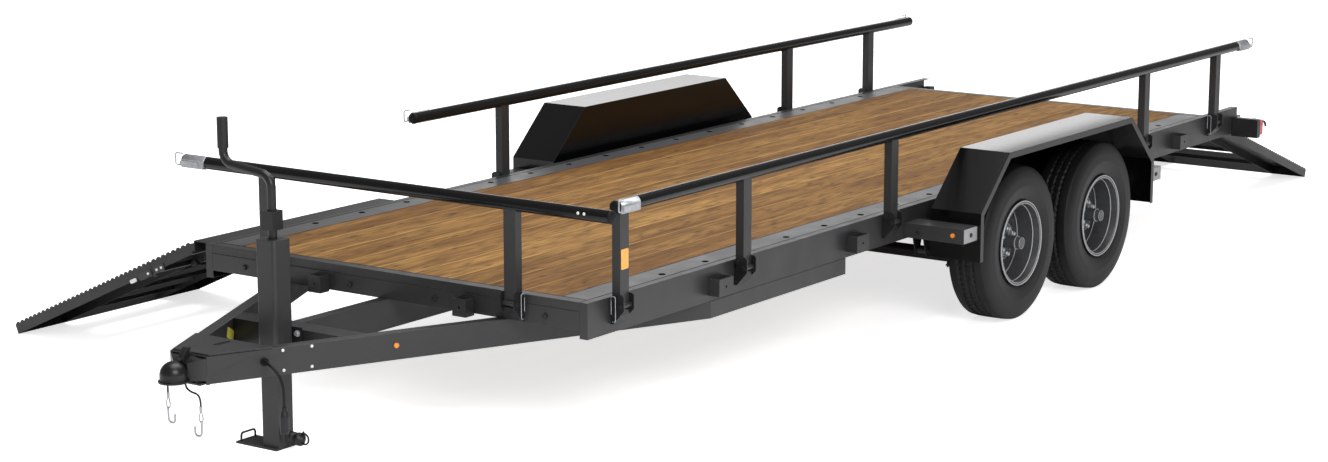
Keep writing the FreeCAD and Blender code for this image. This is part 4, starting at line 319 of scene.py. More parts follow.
# Finishes by slot name: the material's maker, its name, its colours and its own values
FINISHES = {
    "frame_paint": (powder_coat, "charcoal_powder_coat", "#28282a", "#303031", 0.40),
    "strip_paint": (powder_coat, "edge_strip_powder_coat", "#424244", "#4c4c4e", 0.42),
    "black_paint": (powder_coat, "black_powder_coat", "#161617", "#1c1c1e", 0.40),
    "jack_paint": (powder_coat, "jack_powder_coat", "#2f2f30", "#363637", 0.45),
    "coupler_paint": (two_tone, "coupler_paint", "#2b2b2c", "#101011", 0.36, -0.075, -0.045),
    "fender_paint": (gloss_enamel, "fender_gloss_enamel", "#050506", "#080808", 0.18),
    "ramp_paint": (powder_coat, "ramp_powder_coat", "#1c1d1e", "#242526", 0.42),
    "rail_gloss": (gloss_enamel, "rail_gloss_enamel", "#08080a", "#0c0c0e", 0.20),
    "wheel_paint": (powder_coat, "wheel_grey_paint", "#3a3b3c", "#444546", 0.32),
    "timber": (treated_pine, "treated_pine_boards", "#a87f43", "#875f2c", "#573a1a"),
    "spring_steel": (powder_coat, "spring_steel_paint", "#26272a", "#35332f", 0.5),
    "zinc": (plated, "zinc_plate", "#c3c5c8", "#a6a9ae", 0.38),
    "tyre_rubber": (moulded, "tyre_rubber", "#0e0e0f", "#141415", 0.50),
    "rubber_black": (moulded, "grommet_rubber", "#060606", "#0a0a0a", 0.6),
    "lead_jacket": (moulded, "pvc_lead_jacket", "#0a0a0b", "#101012", 0.45),
    "cable_jacket": (moulded, "coated_cable_jacket", "#2a2b2d", "#3a3b3d", 0.45),
    "plug_plastic": (moulded, "plug_abs", "#1f2021", "#28292b", 0.42),
    # Light grey on the rim lips and hub rings: painted highlights along their rolled edges
    "rim_highlight": (powder_coat, "rim_lip_painted_highlight", "#a2a3a5", "#b4b5b7", 0.25),
    # Black cups in the tie holes: painted shade for the holes' dark depths
    "hole_shade": (shade_black, "tie_hole_painted_shade", "#020202"),
    # Near-white on the studs and bolt heads: painted highlight over their pale zinc
    "stud_highlight_paint": (powder_coat, "stud_heads_painted_highlight", "#d6d7d9", "#e2e3e5", 0.40),
    "end_plate": (powder_coat, "end_plate_paint", "#8d8e90", "#9a9b9d", 0.45),
    "reflector": (lens, "orange_reflector", "#f0a02a", "#f6b64c", 160.0),
    # Foil under a clear plastic film, so it has the film's skin
    "tag_foil": (moulded, "blank_foil_tag", "#b9b24a", "#a8a23c", 0.35),
    "amber_lens": (lens, "amber_acrylic_lens", "#e07410", "#f09a2c", 120.0),
    "red_lens": (lens, "red_acrylic_lens", "#b3121a", "#e0444a", 90.0),
}
MADE = {}


def finish(name):
    """Return a finish by its slot name, made once."""
    if name not in MADE:
        make, *values = FINISHES[name]
        MADE[name] = make(*values)
    return MADE[name]


# Meshes
def mesh_piece(name, points, face_sets, material, body, smooth=True):
    """Make a closed piece from points and sets of faces that rides on a body."""
    if isinstance(face_sets, np.ndarray):
        face_sets = [face_sets]
    mesh = bpy.data.meshes.new(name)
    mesh.from_pydata(np.asarray(points, float).tolist(), [],
                     [face for faces in face_sets for face in np.asarray(faces, int).tolist()])
    mesh.validate()
    work = bmesh.new()
    work.from_mesh(mesh)
    bmesh.ops.recalc_face_normals(work, faces=work.faces)
    work.to_mesh(mesh)
    work.free()
    mesh.polygons.foreach_set("use_smooth", np.full(len(mesh.polygons), smooth))
    mesh.materials.append(material)
    piece = bpy.data.objects.new(name, mesh)
    bpy.context.scene.collection.objects.link(piece)
    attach(piece, body)
    return piece


def grid_faces(rows, columns, close_rows=False):
    """Return the quads of a grid whose rows are rings, its last row joined to its first if told."""
    down = np.arange(rows if close_rows else rows - 1)
    i, j = np.meshgrid(down, np.arange(columns), indexing="ij")
    k, m = (i + 1) % rows, (j + 1) % columns
    quads = np.stack((i * columns + j, i * columns + m, k * columns + m, k * columns + j), -1)
    return quads.reshape(-1, 4)


def rings(profile, segments):
    """Turn a profile of (radius, height) about Z: (r cos a, r sin a, h) for each angle a."""
    profile = np.asarray(profile, float)
    angle = np.linspace(0, 2 * math.pi, segments, endpoint=False)
    radius, height = profile[:, :1], profile[:, 1:]
    points = np.stack((radius * np.cos(angle), radius * np.sin(angle), height + 0 * angle), -1)
    return points.reshape(-1, 3)


def turned(profile, segments):
    """Return a turned solid: its walls, closed by a flat face at each end of the profile."""
    last = (len(profile) - 1) * segments
    ends = np.stack((np.arange(segments)[::-1], last + np.arange(segments)))
    return rings(profile, segments), [grid_faces(len(profile), segments), ends]


def hoop(radius, height, thick, high, segments=72, around=8):
    """Return a closed ring about Z: its section is (radius + thick cos t, height + high sin t)."""
    t = np.linspace(0, 2 * math.pi, around, endpoint=False)
    profile = np.stack((radius + thick * np.cos(t), height + high * np.sin(t)), -1)
    return rings(profile, segments), [grid_faces(around, segments, close_rows=True)]


def extruded(loop, low, high, bevel=0.0):
    """Return a flat loop (x, y) drawn from low to high along Z, bevelled round its top edge."""
    loop = np.asarray(loop, float)
    middle = (loop.max(0) + loop.min(0)) / 2
    shrink = 1 - bevel / np.maximum((loop.max(0) - loop.min(0)) / 2, 1e-6)
    levels = [(loop, low), (loop, high - bevel), ((loop - middle) * shrink + middle, high)]
    count = len(loop)
    points = np.concatenate([np.column_stack((ring, np.full(count, level)))
                             for ring, level in levels])
    ends = np.stack((np.arange(count)[::-1], 2 * count + np.arange(count)))
    return points, [grid_faces(3, count), ends]


def rounded(wide, high, radius, steps=4):
    """Return a rectangle's outline with rounded corners, about the origin."""
    corners = []
    for quarter, (sx, sy) in enumerate(((1, 1), (-1, 1), (-1, -1), (1, -1))):
        t = np.linspace(0, math.pi / 2, steps) + quarter * math.pi / 2
        corners.append(np.stack((sx * (wide / 2 - radius) + radius * np.cos(t),
                                 sy * (high / 2 - radius) + radius * np.sin(t)), -1))
    return np.concatenate(corners)


def joined(shapes):
    """Put several (points, face sets) shapes into one."""
    points, sets, count = [], [], 0
    for shape_points, shape_sets in shapes:
        points.append(shape_points)
        sets += [np.asarray(faces) + count for faces in shape_sets]
        count += len(shape_points)
    return np.concatenate(points), sets


def repeat(shape, places):
    """Copy one small shape to each (turn, centre) in a list, as whole arrays."""
    points, sets = shape
    turns = np.array([np.array(turn) for turn, centre in places])
    spots = np.array([centre for turn, centre in places])
    many = np.einsum("nij,pj->npi", turns, points) + spots[:, None, :]
    steps = (np.arange(len(places)) * len(points))[:, None, None]
    return many.reshape(-1, 3), [(np.asarray(faces)[None] + steps).reshape(-1, np.shape(faces)[1])
                                 for faces in sets]


def facing(direction, roll=0.0):
    """Return the turn that takes +Z to a direction."""
    turn = Vector((0, 0, 1)).rotation_difference(Vector(direction)).to_matrix()
    return turn @ Matrix.Rotation(roll, 3, "Z")


# Stage
# The photograph's camera: its place, the way it looks, the way to its right, lens and sensor in mm
EYE = (6.880, 6.969, 2.438)
AHEAD = (-0.8033, -0.5628, -0.1947)
RIGHTWARD = (-0.5738, 0.8190, 0.0)
LENS = 75.0
SENSOR = 36.0
# The floor lies just below the tyres, and glows a little for the camera only
FLOOR_DROP = 0.0006
FLOOR_GLOW = 0.7
# Lamps: name, place, aim, width, height, watts
LAMPS = [
    ("key_softbox", (4.0, 9.0, 6.5), (-3.5, 0.0, 0.0), 6.0, 4.0, 700.0),
    ("top_softbox", (-3.5, 0.5, 7.5), (-3.5, 0.0, 0.0), 10.0, 5.0, 620.0),
    ("back_softbox", (-17.0, -7.5, 4.0), (-4.0, 0.5, 0.2), 9.0, 4.0, 200.0),
]


class TRAILER_OT_stage(bpy.types.Operator):
    """Set the floor, the soft lamps, the sky and the camera"""
    bl_idname = "trailer.stage"
    bl_label = "Stage"

    def execute(self, context):
        scene = context.scene
        look = scene.trailer_look
        bpy.ops.mesh.primitive_plane_add(size=120, location=(-3, 0, GROUND - FLOOR_DROP))
        floor = context.object
        floor.name = "floor"
        # A paper backdrop: matt white all over
        pale, tree, shader, spot = start("pale_floor", "#ffffff", 0.9)
        vary(tree, shader, spot, "#ffffff", "#fbfbfb", 0.4)
        out = tree.nodes["Material Output"]
        glow = add(tree, "ShaderNodeEmission", None, {"Color": WHITE, "Strength": FLOOR_GLOW})
        both = add(tree, "ShaderNodeAddShader", None, {0: shader.outputs[0], 1: glow.outputs[0]})
        path = add(tree, "ShaderNodeLightPath")
        seen = add(tree, "ShaderNodeMixShader", None, {
            0: path.outputs["Is Camera Ray"], 1: shader.outputs[0], 2: both.outputs[0]})
        tree.links.new(seen.outputs[0], out.inputs["Surface"])
        floor.data.materials.append(pale)
        world = bpy.data.worlds.new("soft_studio")
        scene.world = world
        world.use_nodes = True
        sky = world.node_tree
        sky.nodes.clear()
        path = add(sky, "ShaderNodeLightPath")
        plain, mirror, white = (
            add(sky, "ShaderNodeBackground", None, {"Color": WHITE, "Strength": strength})
            for strength in (look.sky, look.mirror, 1.0))
        shine = add(sky, "ShaderNodeMixShader", None, {
            0: path.outputs["Is Glossy Ray"], 1: plain.outputs[0], 2: mirror.outputs[0]})
        mix = add(sky, "ShaderNodeMixShader", None, {
            0: path.outputs["Is Camera Ray"], 1: shine.outputs[0], 2: white.outputs[0]})
        add(sky, "ShaderNodeOutputWorld", None, {"Surface": mix.outputs[0]})
        for name, spot, aim, wide, high, power in LAMPS:
            lamp = bpy.data.lights.new(name, "AREA")
            lamp.shape = "RECTANGLE"
            lamp.size, lamp.size_y = wide, high
            lamp.energy = power * look.lamps
            holder = bpy.data.objects.new(name, lamp)
            holder.location = spot
            holder.rotation_euler = (Vector(aim) - Vector(spot)).to_track_quat("-Z", "Y").to_euler()
            holder.visible_camera = False
            scene.collection.objects.link(holder)
        camera = bpy.data.cameras.new("photo_camera")
        camera.sensor_width = SENSOR
        camera.lens = LENS
        camera.clip_end = 200.0
        eye = bpy.data.objects.new("photo_camera", camera)
        ahead = Vector(AHEAD).normalized()
        right = Vector(RIGHTWARD).normalized()
        up = right.cross(ahead)
        eye.matrix_world = Matrix.Translation(EYE) @ Matrix(
            (right, up, -ahead)).transposed().to_4x4()
        scene.collection.objects.link(eye)
        scene.camera = eye
        scene.view_settings.view_transform = "Standard"
        return {"FINISHED"}


# Cords
CORDS = [
    # name, node, radius, length, far end, piece at its end, material, points of its route
    ("wiring_flex", "wiring_lead", 0.006, 0.2006, "plug", "wiring_plug", "lead_jacket", [
        (-.27258, .19943, .0160), (-.2599, .22662, .0160), (-.2619, .25382, -.0043),
        (-.2699, .27062, -.0375), (-.2741, .27802, -.0786), (-.2741, .27802, -.1376)]),
    ("tether_right", "safety_cable_right", 0.0038, 0.050, "fitting", "safety_hooks",
     "cable_jacket", [
         (-.090, -.122, -.0503), (-.090, -.122, -.0753), (-.090, -.122, -.1003)]),
    ("tether_left", "safety_cable_left", 0.0038, 0.1271, "fitting", "safety_hooks",
     "cable_jacket", [
         (-.090, -.032, -.0503), (-.090, -.032, -.0683), (-.090, -.008, -.0833),
         (-.090, .028, -.0863), (-.090, .042, -.1053), (-.090, .042, -.1303)]),
]


class TRAILER_OT_cords(bpy.types.Operator):
    """Lay the wiring lead and the two safety cables as smooth curves"""
    bl_idname = "trailer.cords"
    bl_label = "Cords"

    def execute(self, context):
        for name, node, radius, length, far_end, along, material, points in CORDS:
            curve = bpy.data.curves.new(name, "CURVE")
            curve.dimensions = "3D"
            spline = curve.splines.new("NURBS")
            spline.points.add(len(points) - 1)
            spline.points.foreach_set("co", [c for point in points for c in (*point, 1.0)])
            spline.order_u = 3
            spline.use_endpoint_u = True
            spline.resolution_u = 12
            curve.bevel_depth = radius
            curve.bevel_resolution = 5
            curve.use_fill_caps = True
            curve.materials.append(finish(material))
            flex = bpy.data.objects.new(name, curve)
            context.scene.collection.objects.link(flex)
            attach(flex, "frame")
            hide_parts(node)
        return {"FINISHED"}


# Finishes of the solids
NODE_SLOTS = {row["node"]: row["material_slot"] for row in frame["record"]["subparts"]}
# Edge rounding in millimetres: of most solids, and of those with folded or sawn edges
EDGE_ROUND = 1.2
ROUNDED = {"deck_planks": 2.0, "jack_outer": 1.5, "tongue_left": 2.5, "tongue_right": 2.5}
# Starts of the names of solids that keep their edges: round or small ones, and replaced ones
PLAIN = ("tyre_", "wiring_", "safety_", "rail_left_tube", "rail_right_tube", "rail_front_tube",
         "rail_hairpins", "marker", "jack_crank")


def soften(solid, width):
    """Join a solid's triangles and round its sharp edges, so that they catch the light."""
    join = solid.modifiers.new("join", "WELD")
    join.merge_threshold = 0.00002
    merge = solid.modifiers.new("merge", "DECIMATE")
    merge.decimate_type = "DISSOLVE"
    merge.angle_limit = math.radians(1.0)
    edge = solid.modifiers.new("round", "BEVEL")
    edge.width = width * MM
    edge.segments = 2
    edge.limit_method = "ANGLE"
    edge.angle_limit = math.radians(35)
    edge.harden_normals = True


class TRAILER_OT_finishes(bpy.types.Operator):
    """Give every solid its finish and its rounded edges"""
    bl_idname = "trailer.finishes"
    bl_label = "Finishes"

    def execute(self, context):
        for name, solid in NODES.items():
            solid.data.materials.clear()
            solid.data.materials.append(finish(NODE_SLOTS[name]))
            if not name.startswith(PLAIN):
                soften(solid, ROUNDED.get(name, EDGE_ROUND))
        return {"FINISHED"}


# Tyres
SIDES = (("left", 1), ("right", -1))
AXLES = ("front", "rear")
BEAD_RADIUS = 0.1845
TREAD_LUGS = 78


def tyre_surface(width, radius, bead, lugs):
    """Return a tyre's grid of points about Z.

    A profile of (radius, across) runs from bead to bead. Across the crown the radius is the
    crown's, less a groove depth where the distance to one of four zigzag groove lines is small.
    On the shoulders slots are cut at every lug, and the middle rib has narrow sipes. The walls
    carry raised rings. Across is a share of the half width.
    """
    half = width / 2
    knots = np.array([(bead, -.76), (bead + .004, -.80), (bead + .012, -.86), (bead + .034, -.94),
                      (bead + .070, -.995), (radius - .090, -1.0), (radius - .048, -.975),
                      (radius - .026, -.925), (radius - .012, -.86), (radius - .0035, -.78)])
    steps = np.linspace(0, len(knots) - 1, 44)
    wall = np.stack([np.interp(steps, np.arange(len(knots)), knots[:, side]) for side in (0, 1)], 1)
    kernel = np.array((.25, .5, .25))
    for _ in range(2):
        inner = np.stack([np.convolve(wall[:, side], kernel, "same") for side in (0, 1)], 1)
        wall[1:-1] = inner[1:-1]
    reach = .755
    crown_across = np.linspace(-reach, reach, 60)
    crown = np.stack((radius - .0035 * (crown_across / reach) ** 4, crown_across), 1)
    profile = np.vstack((wall, crown, wall[::-1] * (1, -1)))
    columns = lugs * 4
    angle = np.linspace(0, 2 * math.pi, columns, endpoint=False)
    across = profile[:, 1:] + 0 * angle
    r = profile[:, :1] + 0 * angle
    phase = lugs * angle[None]
    side = np.sign(across)
    zigzag = .025 * np.sign(np.sin(phase))
    groove = np.zeros_like(r)
    for line, wide in ((.0, .035), (.34, .05), (-.34, .05)):
        groove = np.maximum(groove, np.clip((wide - abs(across - line - zigzag)) / .02, 0, 1))
    on_crown = abs(across) < .765
    slot = (np.sin(phase + side * .8) > .72) * np.clip((abs(across) - .40) / .05, 0, 1)
    sipe = (np.sin(phase + 1.2 + across * 4) > .9) * (abs(across) < .30)
    drop = .0090 * groove * on_crown + .004 * sipe * on_crown
    low_slot = .0065 * slot * np.clip((r - (radius - .045)) / .018, 0, 1)
    r = r - drop - low_slot
    ribs = np.zeros_like(r)
    for line, wide, rise in ((radius - .052, .0018, .0012), (radius - .060, .0018, .0008),
                             (bead + .022, .003, .0015), (bead + .010, .002, .001)):
        ribs += rise * np.exp(-((profile[:, :1] - line) / wide) ** 2) * (abs(across) > .8)
    high = np.clip(across * half + side * ribs, -half, half)
    points = np.stack((r * np.cos(angle), r * np.sin(angle), high), -1)
    inside = np.stack(((bead - .004) * np.cos(angle), (bead - .004) * np.sin(angle)), -1)
    caps = [np.concatenate((inside, np.full((columns, 1), end * half)), 1)[None]
            for end in (-.5, .5)]
    return np.concatenate((caps[0], points, caps[1])).reshape(-1, 3), len(profile) + 2, columns


class TRAILER_OT_tyres(bpy.types.Operator):
    """Mould the tyres with their tread and wall rings"""
    bl_idname = "trailer.tyres"
    bl_label = "Tyres"

    def execute(self, context):
        for axle in AXLES:
            for side, sign in SIDES:
                node = "tyre_%s_%s" % (axle, side)
                low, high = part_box(node)
                centre = np.array((low + high) / 2)
                width = high.y - low.y
                points, rows, columns = tyre_surface(width, (high.x - low.x) / 2, BEAD_RADIUS,
                                                     TREAD_LUGS)
                points = points @ np.array(ALONG_Y if sign > 0 else ALONG_Y.inverted()).T + centre
                faces = grid_faces(rows, columns, close_rows=True)
                piece = mesh_piece(node + "_tread", points, faces, finish("tyre_rubber"),
                                   "%s_%s_wheel" % (axle, side))
                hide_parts(node)
        return {"FINISHED"}


# Wheels: shapes about each wheel's own Z, in metres outward from the middle of its tyre
# Rings: radius, height, half thickness, half height, and segments where not the usual number
# The lip and hub rings carry a light grey that is painted highlight, not the rim's own paint
RIM_LIPS = [(.1905, .0965, .0022, .0040), (.1805, .0945, .0016, .0026),
            (.1755, .0620, .0018, .0030), (.1755, -.0180, .0018, .0026)]
HUB_RINGS = [(.0300, .0760, .0012, .0018, 40), (.0305, .0075, .0016, .0022, 40),
             (.0815, .0066, .0014, .0014, 64), (.0250, .0985, .0010, .0014, 40)]
NUT_CIRCLE, NUT_COUNT, NUT_SEAT = .057, 6, .0072
VALVE_AT = (.166, 0, .0300)


def hex_head(across, high):
    """Return a hexagon head with a chamfered crown."""
    corner = across / 2 / math.cos(math.pi / 6)
    return turned([(corner, 0), (corner, .75 * high), (.90 * corner, high * .95),
                   (.55 * corner, high)], 6)


def lug_nut():
    """Return a closed lug nut: a cone seat, a hexagon and a round cap, 31 mm tall."""
    seat = turned([(.0125, 0), (.0125, .004)], 16)
    head = turned([(.0118, .004), (.0118, .021), (.0104, .023)], 6)
    cap = turned([(.0096, .023), (.0090, .028), (.0062, .0305), (.002, .0312)], 12)
    return joined([seat, head, cap])


class TRAILER_OT_wheels(bpy.types.Operator):
    """Add the rims' rolled lips and the hub rings, light grey as painted highlights, then the lug
    nuts and the valves
    """
    bl_idname = "trailer.wheels"
    bl_label = "Wheels"

    def execute(self, context):
        for axle in AXLES:
            for side, sign in SIDES:
                body = "%s_%s_wheel" % (axle, side)
                low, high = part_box("tyre_%s_%s" % (axle, side))
                centre = np.array((low + high) / 2)
                turn = np.array(facing((0, sign, 0)))
                lips = joined([hoop(*ring) for ring in RIM_LIPS])
                mesh_piece("rim_lip_highlights_" + body, lips[0] @ turn.T + centre, lips[1],
                           finish("rim_highlight"), body)
                hub = joined([hoop(*ring) for ring in HUB_RINGS])
                mesh_piece("hub_ring_highlights_" + body, hub[0] @ turn.T + centre, hub[1],
                           finish("rim_highlight"), body)
                spots = [(np.eye(3), (NUT_CIRCLE * math.cos(a), NUT_CIRCLE * math.sin(a), NUT_SEAT))
                         for a in np.radians(np.arange(NUT_COUNT) * (360 / NUT_COUNT) + 30)]
                nuts = repeat(lug_nut(), spots)
                mesh_piece("lug_nuts_" + body, nuts[0] @ turn.T + centre, nuts[1],
                           finish("zinc"), body, smooth=False)
                valve = turned([(.0045, 0), (.0042, .016), (.0030, .018), (.0030, .030),
                                (.0036, .031), (.0036, .038), (.0025, .039)], 12)
                lean = np.array(facing((-.5, 0, .87)))
                valve = (valve[0] @ lean.T + VALVE_AT, valve[1])
                mesh_piece("valve_" + body, valve[0] @ turn.T + centre, valve[1],
                           finish("rubber_black"), body)
        return {"FINISHED"}


# Fasteners
# The tongue beams turn in at this angle, from a kink this far behind the deck's front edge, where
# their outer faces are this far from the centre line
TONGUE_ANGLE = math.radians(25)
TONGUE_KINK, TONGUE_OUT = 820, 978
SIN_T, COS_T = math.sin(TONGUE_ANGLE), math.cos(TONGUE_ANGLE)


def tongue_face(x):
    """Return how far the tongue beam's outer face is from the centre line, in millimetres."""
    return TONGUE_OUT - (x + TONGUE_KINK) * math.tan(TONGUE_ANGLE)


TONGUE_SPOTS = ((827, -120), (724, -118), (825, -195), (725, -194))
BOLTS = [
    # name, body, finish, shape, direction, places in millimetres from the deck's front edge
    ("tongue_bolts_left", "frame", "stud_highlight_paint", "stud", (SIN_T, COS_T, 0),
     [(x, tongue_face(x), z) for x, z in TONGUE_SPOTS]),
    ("tongue_bolts_right", "frame", "stud_highlight_paint", "stud", (SIN_T, -COS_T, 0),
     [(x, -tongue_face(x), z) for x, z in TONGUE_SPOTS]),
    ("jack_plate_bolts", "frame", "zinc", "hex", (1, 0, 0),
     [(592.2, y, z) for y in (-67, 67) for z in (-122, -187)]),
    ("front_beam_bolts", "frame", "black_paint", "hex", (1, 0, 0),
     [(0, -193, -73), (0, 242, -73), (0, -760, -73), (0, 780, -73)]),
    ("rail_bolts", "front_rail", "stud_highlight_paint", "stud", (1, 0, 0),
     [(47.2, 972, 350), (47.2, 1000, 350)]),
    ("arm_bolts_front", "frame", "black_paint", "hex", (1, 0, 0),
     [(-2334.7, y, -100) for y in (1057, -1057)]),
    ("arm_bolts_left", "frame", "black_paint", "dome", (0, 1, 0),
     [(x, 1280.4, -98) for x in (-2395, -4265)]),
    ("arm_bolts_right", "frame", "black_paint", "dome", (0, -1, 0),
     [(x, -1280.4, -98) for x in (-2395, -4265)]),
    ("lamp_screws", "frame", "zinc", "dome", (0, 0, 1),
     [(-5880, y, -50) for y in (1010, 1100, -1010, -1100)]),
]


def washer_and_head():
    """Return a hexagon head of 19 mm on a round washer 2.2 mm thick."""
    thick = .0022
    washer = turned([(.0125, 0), (.0125, .0016), (.0118, thick)], 18)
    points, sets = hex_head(.019, .0075)
    return joined([washer, (points + (0, 0, thick), sets)])


SHAPES = {
    "hex": washer_and_head(),
    "stud": turned([(.0060, 0), (.0060, .0014), (.0050, .0030), (.0030, .0040), (.001, .0043)], 16),
    "dome": turned([(.0105, 0), (.0105, .0018), (.0092, .0045), (.0062, .0064), (.002, .0070)], 16),
}


class TRAILER_OT_fasteners(bpy.types.Operator):
    """Set the bolts, screws and washers"""
    bl_idname = "trailer.fasteners"
    bl_label = "Fasteners"

    def execute(self, context):
        for name, body, material, shape, direction, places in BOLTS:
            turn = facing(direction, .3)
            points, sets = repeat(SHAPES[shape], [(turn, deck(*place)) for place in places])
            mesh_piece(name, points, sets, finish(material), body, smooth=False)
        return {"FINISHED"}


# Rail tube ends: body, place and direction
TUBE_ENDS = [
    ("left_rail", (-150, 1000, 345), (1, 0, 0)), ("left_rail", (-5940, 1000, 345), (-1, 0, 0)),
    ("right_rail", (-1360, -1000, 345), (1, 0, 0)), ("right_rail", (-5780, -1000, 345), (-1, 0, 0)),
    ("front_rail", (22, 1105, 345), (0, 1, 0)), ("front_rail", (22, -1050, 345), (0, -1, 0)),
]
# Latch sleeves: body, start, way along the tube, way out of it
SLEEVES = [
    ("left_rail", (-154, 1000, 345), (-1, 0, 0), (0, 1, 0)),
    ("left_rail", (-5936, 1000, 345), (1, 0, 0), (0, 1, 0)),
    ("right_rail", (-1364, -1000, 345), (-1, 0, 0), (0, -1, 0)),
    ("right_rail", (-5776, -1000, 345), (1, 0, 0), (0, -1, 0)),
    ("front_rail", (22, -1046, 345), (0, 1, 0), (1, 0, 0)),
]
# Tie holes in the edge strips: the first one's place, their spacing and number, and their line
HOLE_FIRST, HOLE_STEP, HOLE_COUNT, HOLE_LINE = -288, -300, 17, 904
# Seams of the deck, where black lines of painted shade lie: from x, to x, from y, to y
SEAMS = ([(-5510, -50, y - 1.8, y + 1.8) for y in (940, -940, 821, -821)]
         + [(x - 1.8, x + 1.8, -938, 938) for x in (-50, -5510)]
         + [(-50, -2, y - 1.6, y + 1.6) for y in (940, -940)])
# The side ramp's fold: its place across and up, its slope in degrees and its front face
SIDE_SLOPE = 24.28
FOLD_AT = np.array((-1.3585, DECK_TOP - .1534))
RAMP_FACE = -59.6
# Its plates and bolts: name, body, start down the slope, finish, and for each one its start from
# there, length, drop below the ramp's top, width and thickness, in metres
SPLICES = [
    ("splice_upper", "side_ramp", -.075, "frame_paint", [(0, .062, .022, .030, .004)]),
    ("splice_bolts_upper", "side_ramp", -.075, "stud_highlight_paint",
     [(.010, .010, .022, .010, .0075), (.040, .010, .022, .010, .0075)]),
    ("splice_lower", "side_ramp_end", .010, "frame_paint", [(0, .080, .022, .030, .004)]),
    ("splice_bolts_lower", "side_ramp_end", .010, "stud_highlight_paint",
     [(.012, .010, .022, .010, .0075), (.100, .034, .024, .016, .008)]),
]


def cap_rails():
    """Close the rail tubes with domed rubber caps."""
    cap = turned([(.0221, -.018), (.0221, .0), (.0256, .0004), (.0256, .0030), (.0240, .0062),
                  (.0190, .0092), (.0100, .0112), (.0030, .0117)], 32)
    for body in ("left_rail", "right_rail", "front_rail"):
        points, sets = repeat(cap, [(facing(way), deck(*spot))
                                    for owner, spot, way in TUBE_ENDS if owner == body])
        mesh_piece(body + "_caps", points, sets, finish("rubber_black"), body)


def sleeve_latches():
    """Set the toggle latches' sleeves: a good third of a ring on each tube's outer side."""
    t = np.linspace(-1.15, 1.15, 15)
    arc = np.stack((np.cos(t), np.sin(t)), -1)
    sleeve = extruded(np.concatenate((arc * .0292, arc[::-1] * .0257)), 0, .118)
    for body, spot, along, out in SLEEVES:
        turn = Matrix((out, Vector(along).cross(Vector(out)), along)).transposed()
        points, sets = repeat(sleeve, [(turn, deck(*spot))])
        mesh_piece("sleeve_%s_%d" % (body, spot[0]), points, sets, finish("zinc"), body)


def shade_tie_holes():
    """Set a black cup of painted shade, with a thin rim, in every tie hole of the edge strips."""
    shade_cup = turned([(.0109, -.0048), (.0109, .0001), (.0148, .0001), (.0146, .0007),
                    (.003, .0007)], 20)
    spots = [(np.eye(3), deck(HOLE_FIRST + HOLE_STEP * number, sign * HOLE_LINE, 0))
             for number in range(HOLE_COUNT) for sign in (1, -1)]
    points, sets = repeat(shade_cup, spots)
    mesh_piece("tie_hole_shadows", points, sets, finish("hole_shade"), "frame")


def shade_seams():
    """Lay a black line 0.7 mm high on every seam of the deck: painted shade of the gaps."""
    shade_strips = []
    for x0, x1, y0, y1 in SEAMS:
        loop = np.array(((x0, y0), (x1, y0), (x1, y1), (x0, y1)), float)
        points, sets = extruded(loop * MM, 0, .0007, .0003)
        shade_strips.append((points + (-BALL_FORWARD, 0, DECK_TOP), sets))
    points, sets = joined(shade_strips)
    mesh_piece("seam_painted_shade", points, sets, finish("rubber_black"), "frame",
               smooth=False)


def set_reflector():
    """Set the orange reflector on the left rail's front post."""
    plate = extruded(rounded(.046, .078, .004), 0, .0024, .0008)
    points, sets = repeat(plate, [(facing((0, 1, 0)), deck(-180, 1019, 145))])
    mesh_piece("post_reflector", points, sets, finish("reflector"), "left_rail",
               smooth=False)


def house_foot_pin():
    """Set the foot's spring pin: a stepped housing on the leg's left side, with a pull ring."""
    housing = turned([(.0030, .0), (.0240, .0), (.0240, .0300), (.0190, .0320), (.0190, .0480),
                      (.0255, .0500), (.0255, .0640), (.0110, .0660), (.0110, .0760),
                      (.0030, .0770)], 24)
    housing = repeat(housing, [(facing((0, 1, 0)), deck(628, 42, -518))])
    ring = repeat(hoop(.0210, 0, .0038, .0038, 32), [(facing((1, 0, 0)), deck(628, 121, -514))])
    points, sets = joined([housing, ring])
    mesh_piece("foot_pin_housing", points, sets, finish("black_paint"), "drop_leg")


def splice_fold():
    """Set the plates on both sides of the side ramp's fold, with their bolts and the latch bar."""
    fall = math.radians(SIDE_SLOPE)
    down = np.array((-math.cos(fall), -math.sin(fall)))
    under = np.array((math.sin(fall), -math.cos(fall)))
    upright = np.array(((0, 0, 1), (1, 0, 0), (0, 1, 0)))
    face = (deck(RAMP_FACE, 0, 0)[0], 0, 0)
    for name, body, starts, material, spans in SPLICES:
        shapes = []
        for start_at, length, drop, wide, thick in spans:
            rim = rounded(length, wide, min(.004, wide / 3))
            centre = FOLD_AT + down * (starts + start_at + length / 2) + under * drop
            loop = centre + rim[:, :1] * down + rim[:, 1:] * under
            points, sets = extruded(loop[::-1], 0, thick)
            shapes.append((points @ upright.T + face, sets))
        points, sets = joined(shapes)
        mesh_piece(name, points, sets, finish(material), body, smooth=False)


def plate_arms():
    """Close the fender arms with plates at their outer ends."""
    plate = extruded(rounded(.116, .062, .004), 0, .0020, .0008)
    places = [(facing((0, side, 0)), deck(x, side * 1278.4, -98))
              for x in (-2394.7, -4265.3) for side in (1, -1)]
    points, sets = repeat(plate, places)
    mesh_piece("arm_end_plates", points, sets, finish("end_plate"), "frame", smooth=False)


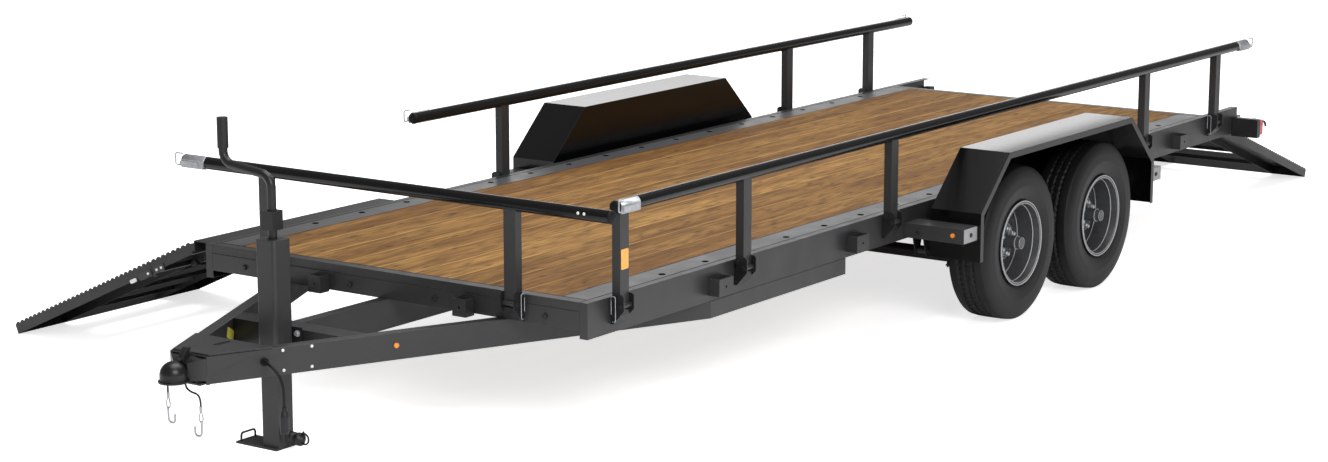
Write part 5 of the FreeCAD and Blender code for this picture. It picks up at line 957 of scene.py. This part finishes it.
def set_tag():
    """Set one blank foil tag on the inner face of the right tongue beam."""
    tag = extruded(rounded(.075, .040, .004), 0, .0008, .0003)
    at = deck(620, -(tongue_face(620) - 50 / COS_T) + .2, -162)
    points, sets = repeat(tag, [(facing((-SIN_T, COS_T, 0)), at)])
    mesh_piece("blank_tag", points, sets, finish("tag_foil"), "frame", smooth=False)


TRIM = (cap_rails, sleeve_latches, shade_tie_holes, shade_seams, set_reflector, house_foot_pin,
        splice_fold, plate_arms, set_tag)


class TRAILER_OT_trim(bpy.types.Operator):
    """Fit caps, latch sleeves, painted shade in tie holes and seams, reflector, pin housing,
    splices and plates
    """
    bl_idname = "trailer.trim"
    bl_label = "Trim"

    def execute(self, context):
        for fit in TRIM:
            fit()
        return {"FINISHED"}


class TrailerLook(bpy.types.PropertyGroup):
    """Light that a user may change"""
    sky: FloatProperty(name="Sky", description="Strength of the sky on the object", default=0.45)
    mirror: FloatProperty(name="Mirror", description="Strength of the sky in reflections",
                          default=0.24)
    lamps: FloatProperty(name="Lamps", description="Factor on every lamp's power", default=1.0)


class TRAILER_PT_panel(bpy.types.Panel):
    """List the steps of the trailer's looks"""
    bl_label = "Trailer"
    bl_idname = "TRAILER_PT_panel"
    bl_space_type = "VIEW_3D"
    bl_region_type = "UI"
    bl_category = "Trailer"

    def draw(self, context):
        for step in STEPS:
            self.layout.operator(step.bl_idname)
        for name in TrailerLook.__annotations__:
            self.layout.prop(context.scene.trailer_look, name)


STEPS = [TRAILER_OT_stage, TRAILER_OT_cords, TRAILER_OT_finishes, TRAILER_OT_tyres,
         TRAILER_OT_wheels, TRAILER_OT_fasteners, TRAILER_OT_trim]


def register():
    """Register the property group, the operators and the panel."""
    for item in [TrailerLook] + STEPS + [TRAILER_PT_panel]:
        bpy.utils.register_class(item)
    bpy.types.Scene.trailer_look = PointerProperty(type=TrailerLook)


def unregister():
    """Take them out again."""
    del bpy.types.Scene.trailer_look
    for item in reversed([TrailerLook] + STEPS + [TRAILER_PT_panel]):
        bpy.utils.unregister_class(item)


def main():
    """Run every step."""
    register()
    for step in STEPS:
        group, name = step.bl_idname.split(".")
        getattr(getattr(bpy.ops, group), name)()


if __name__ == "__main__":
    main()
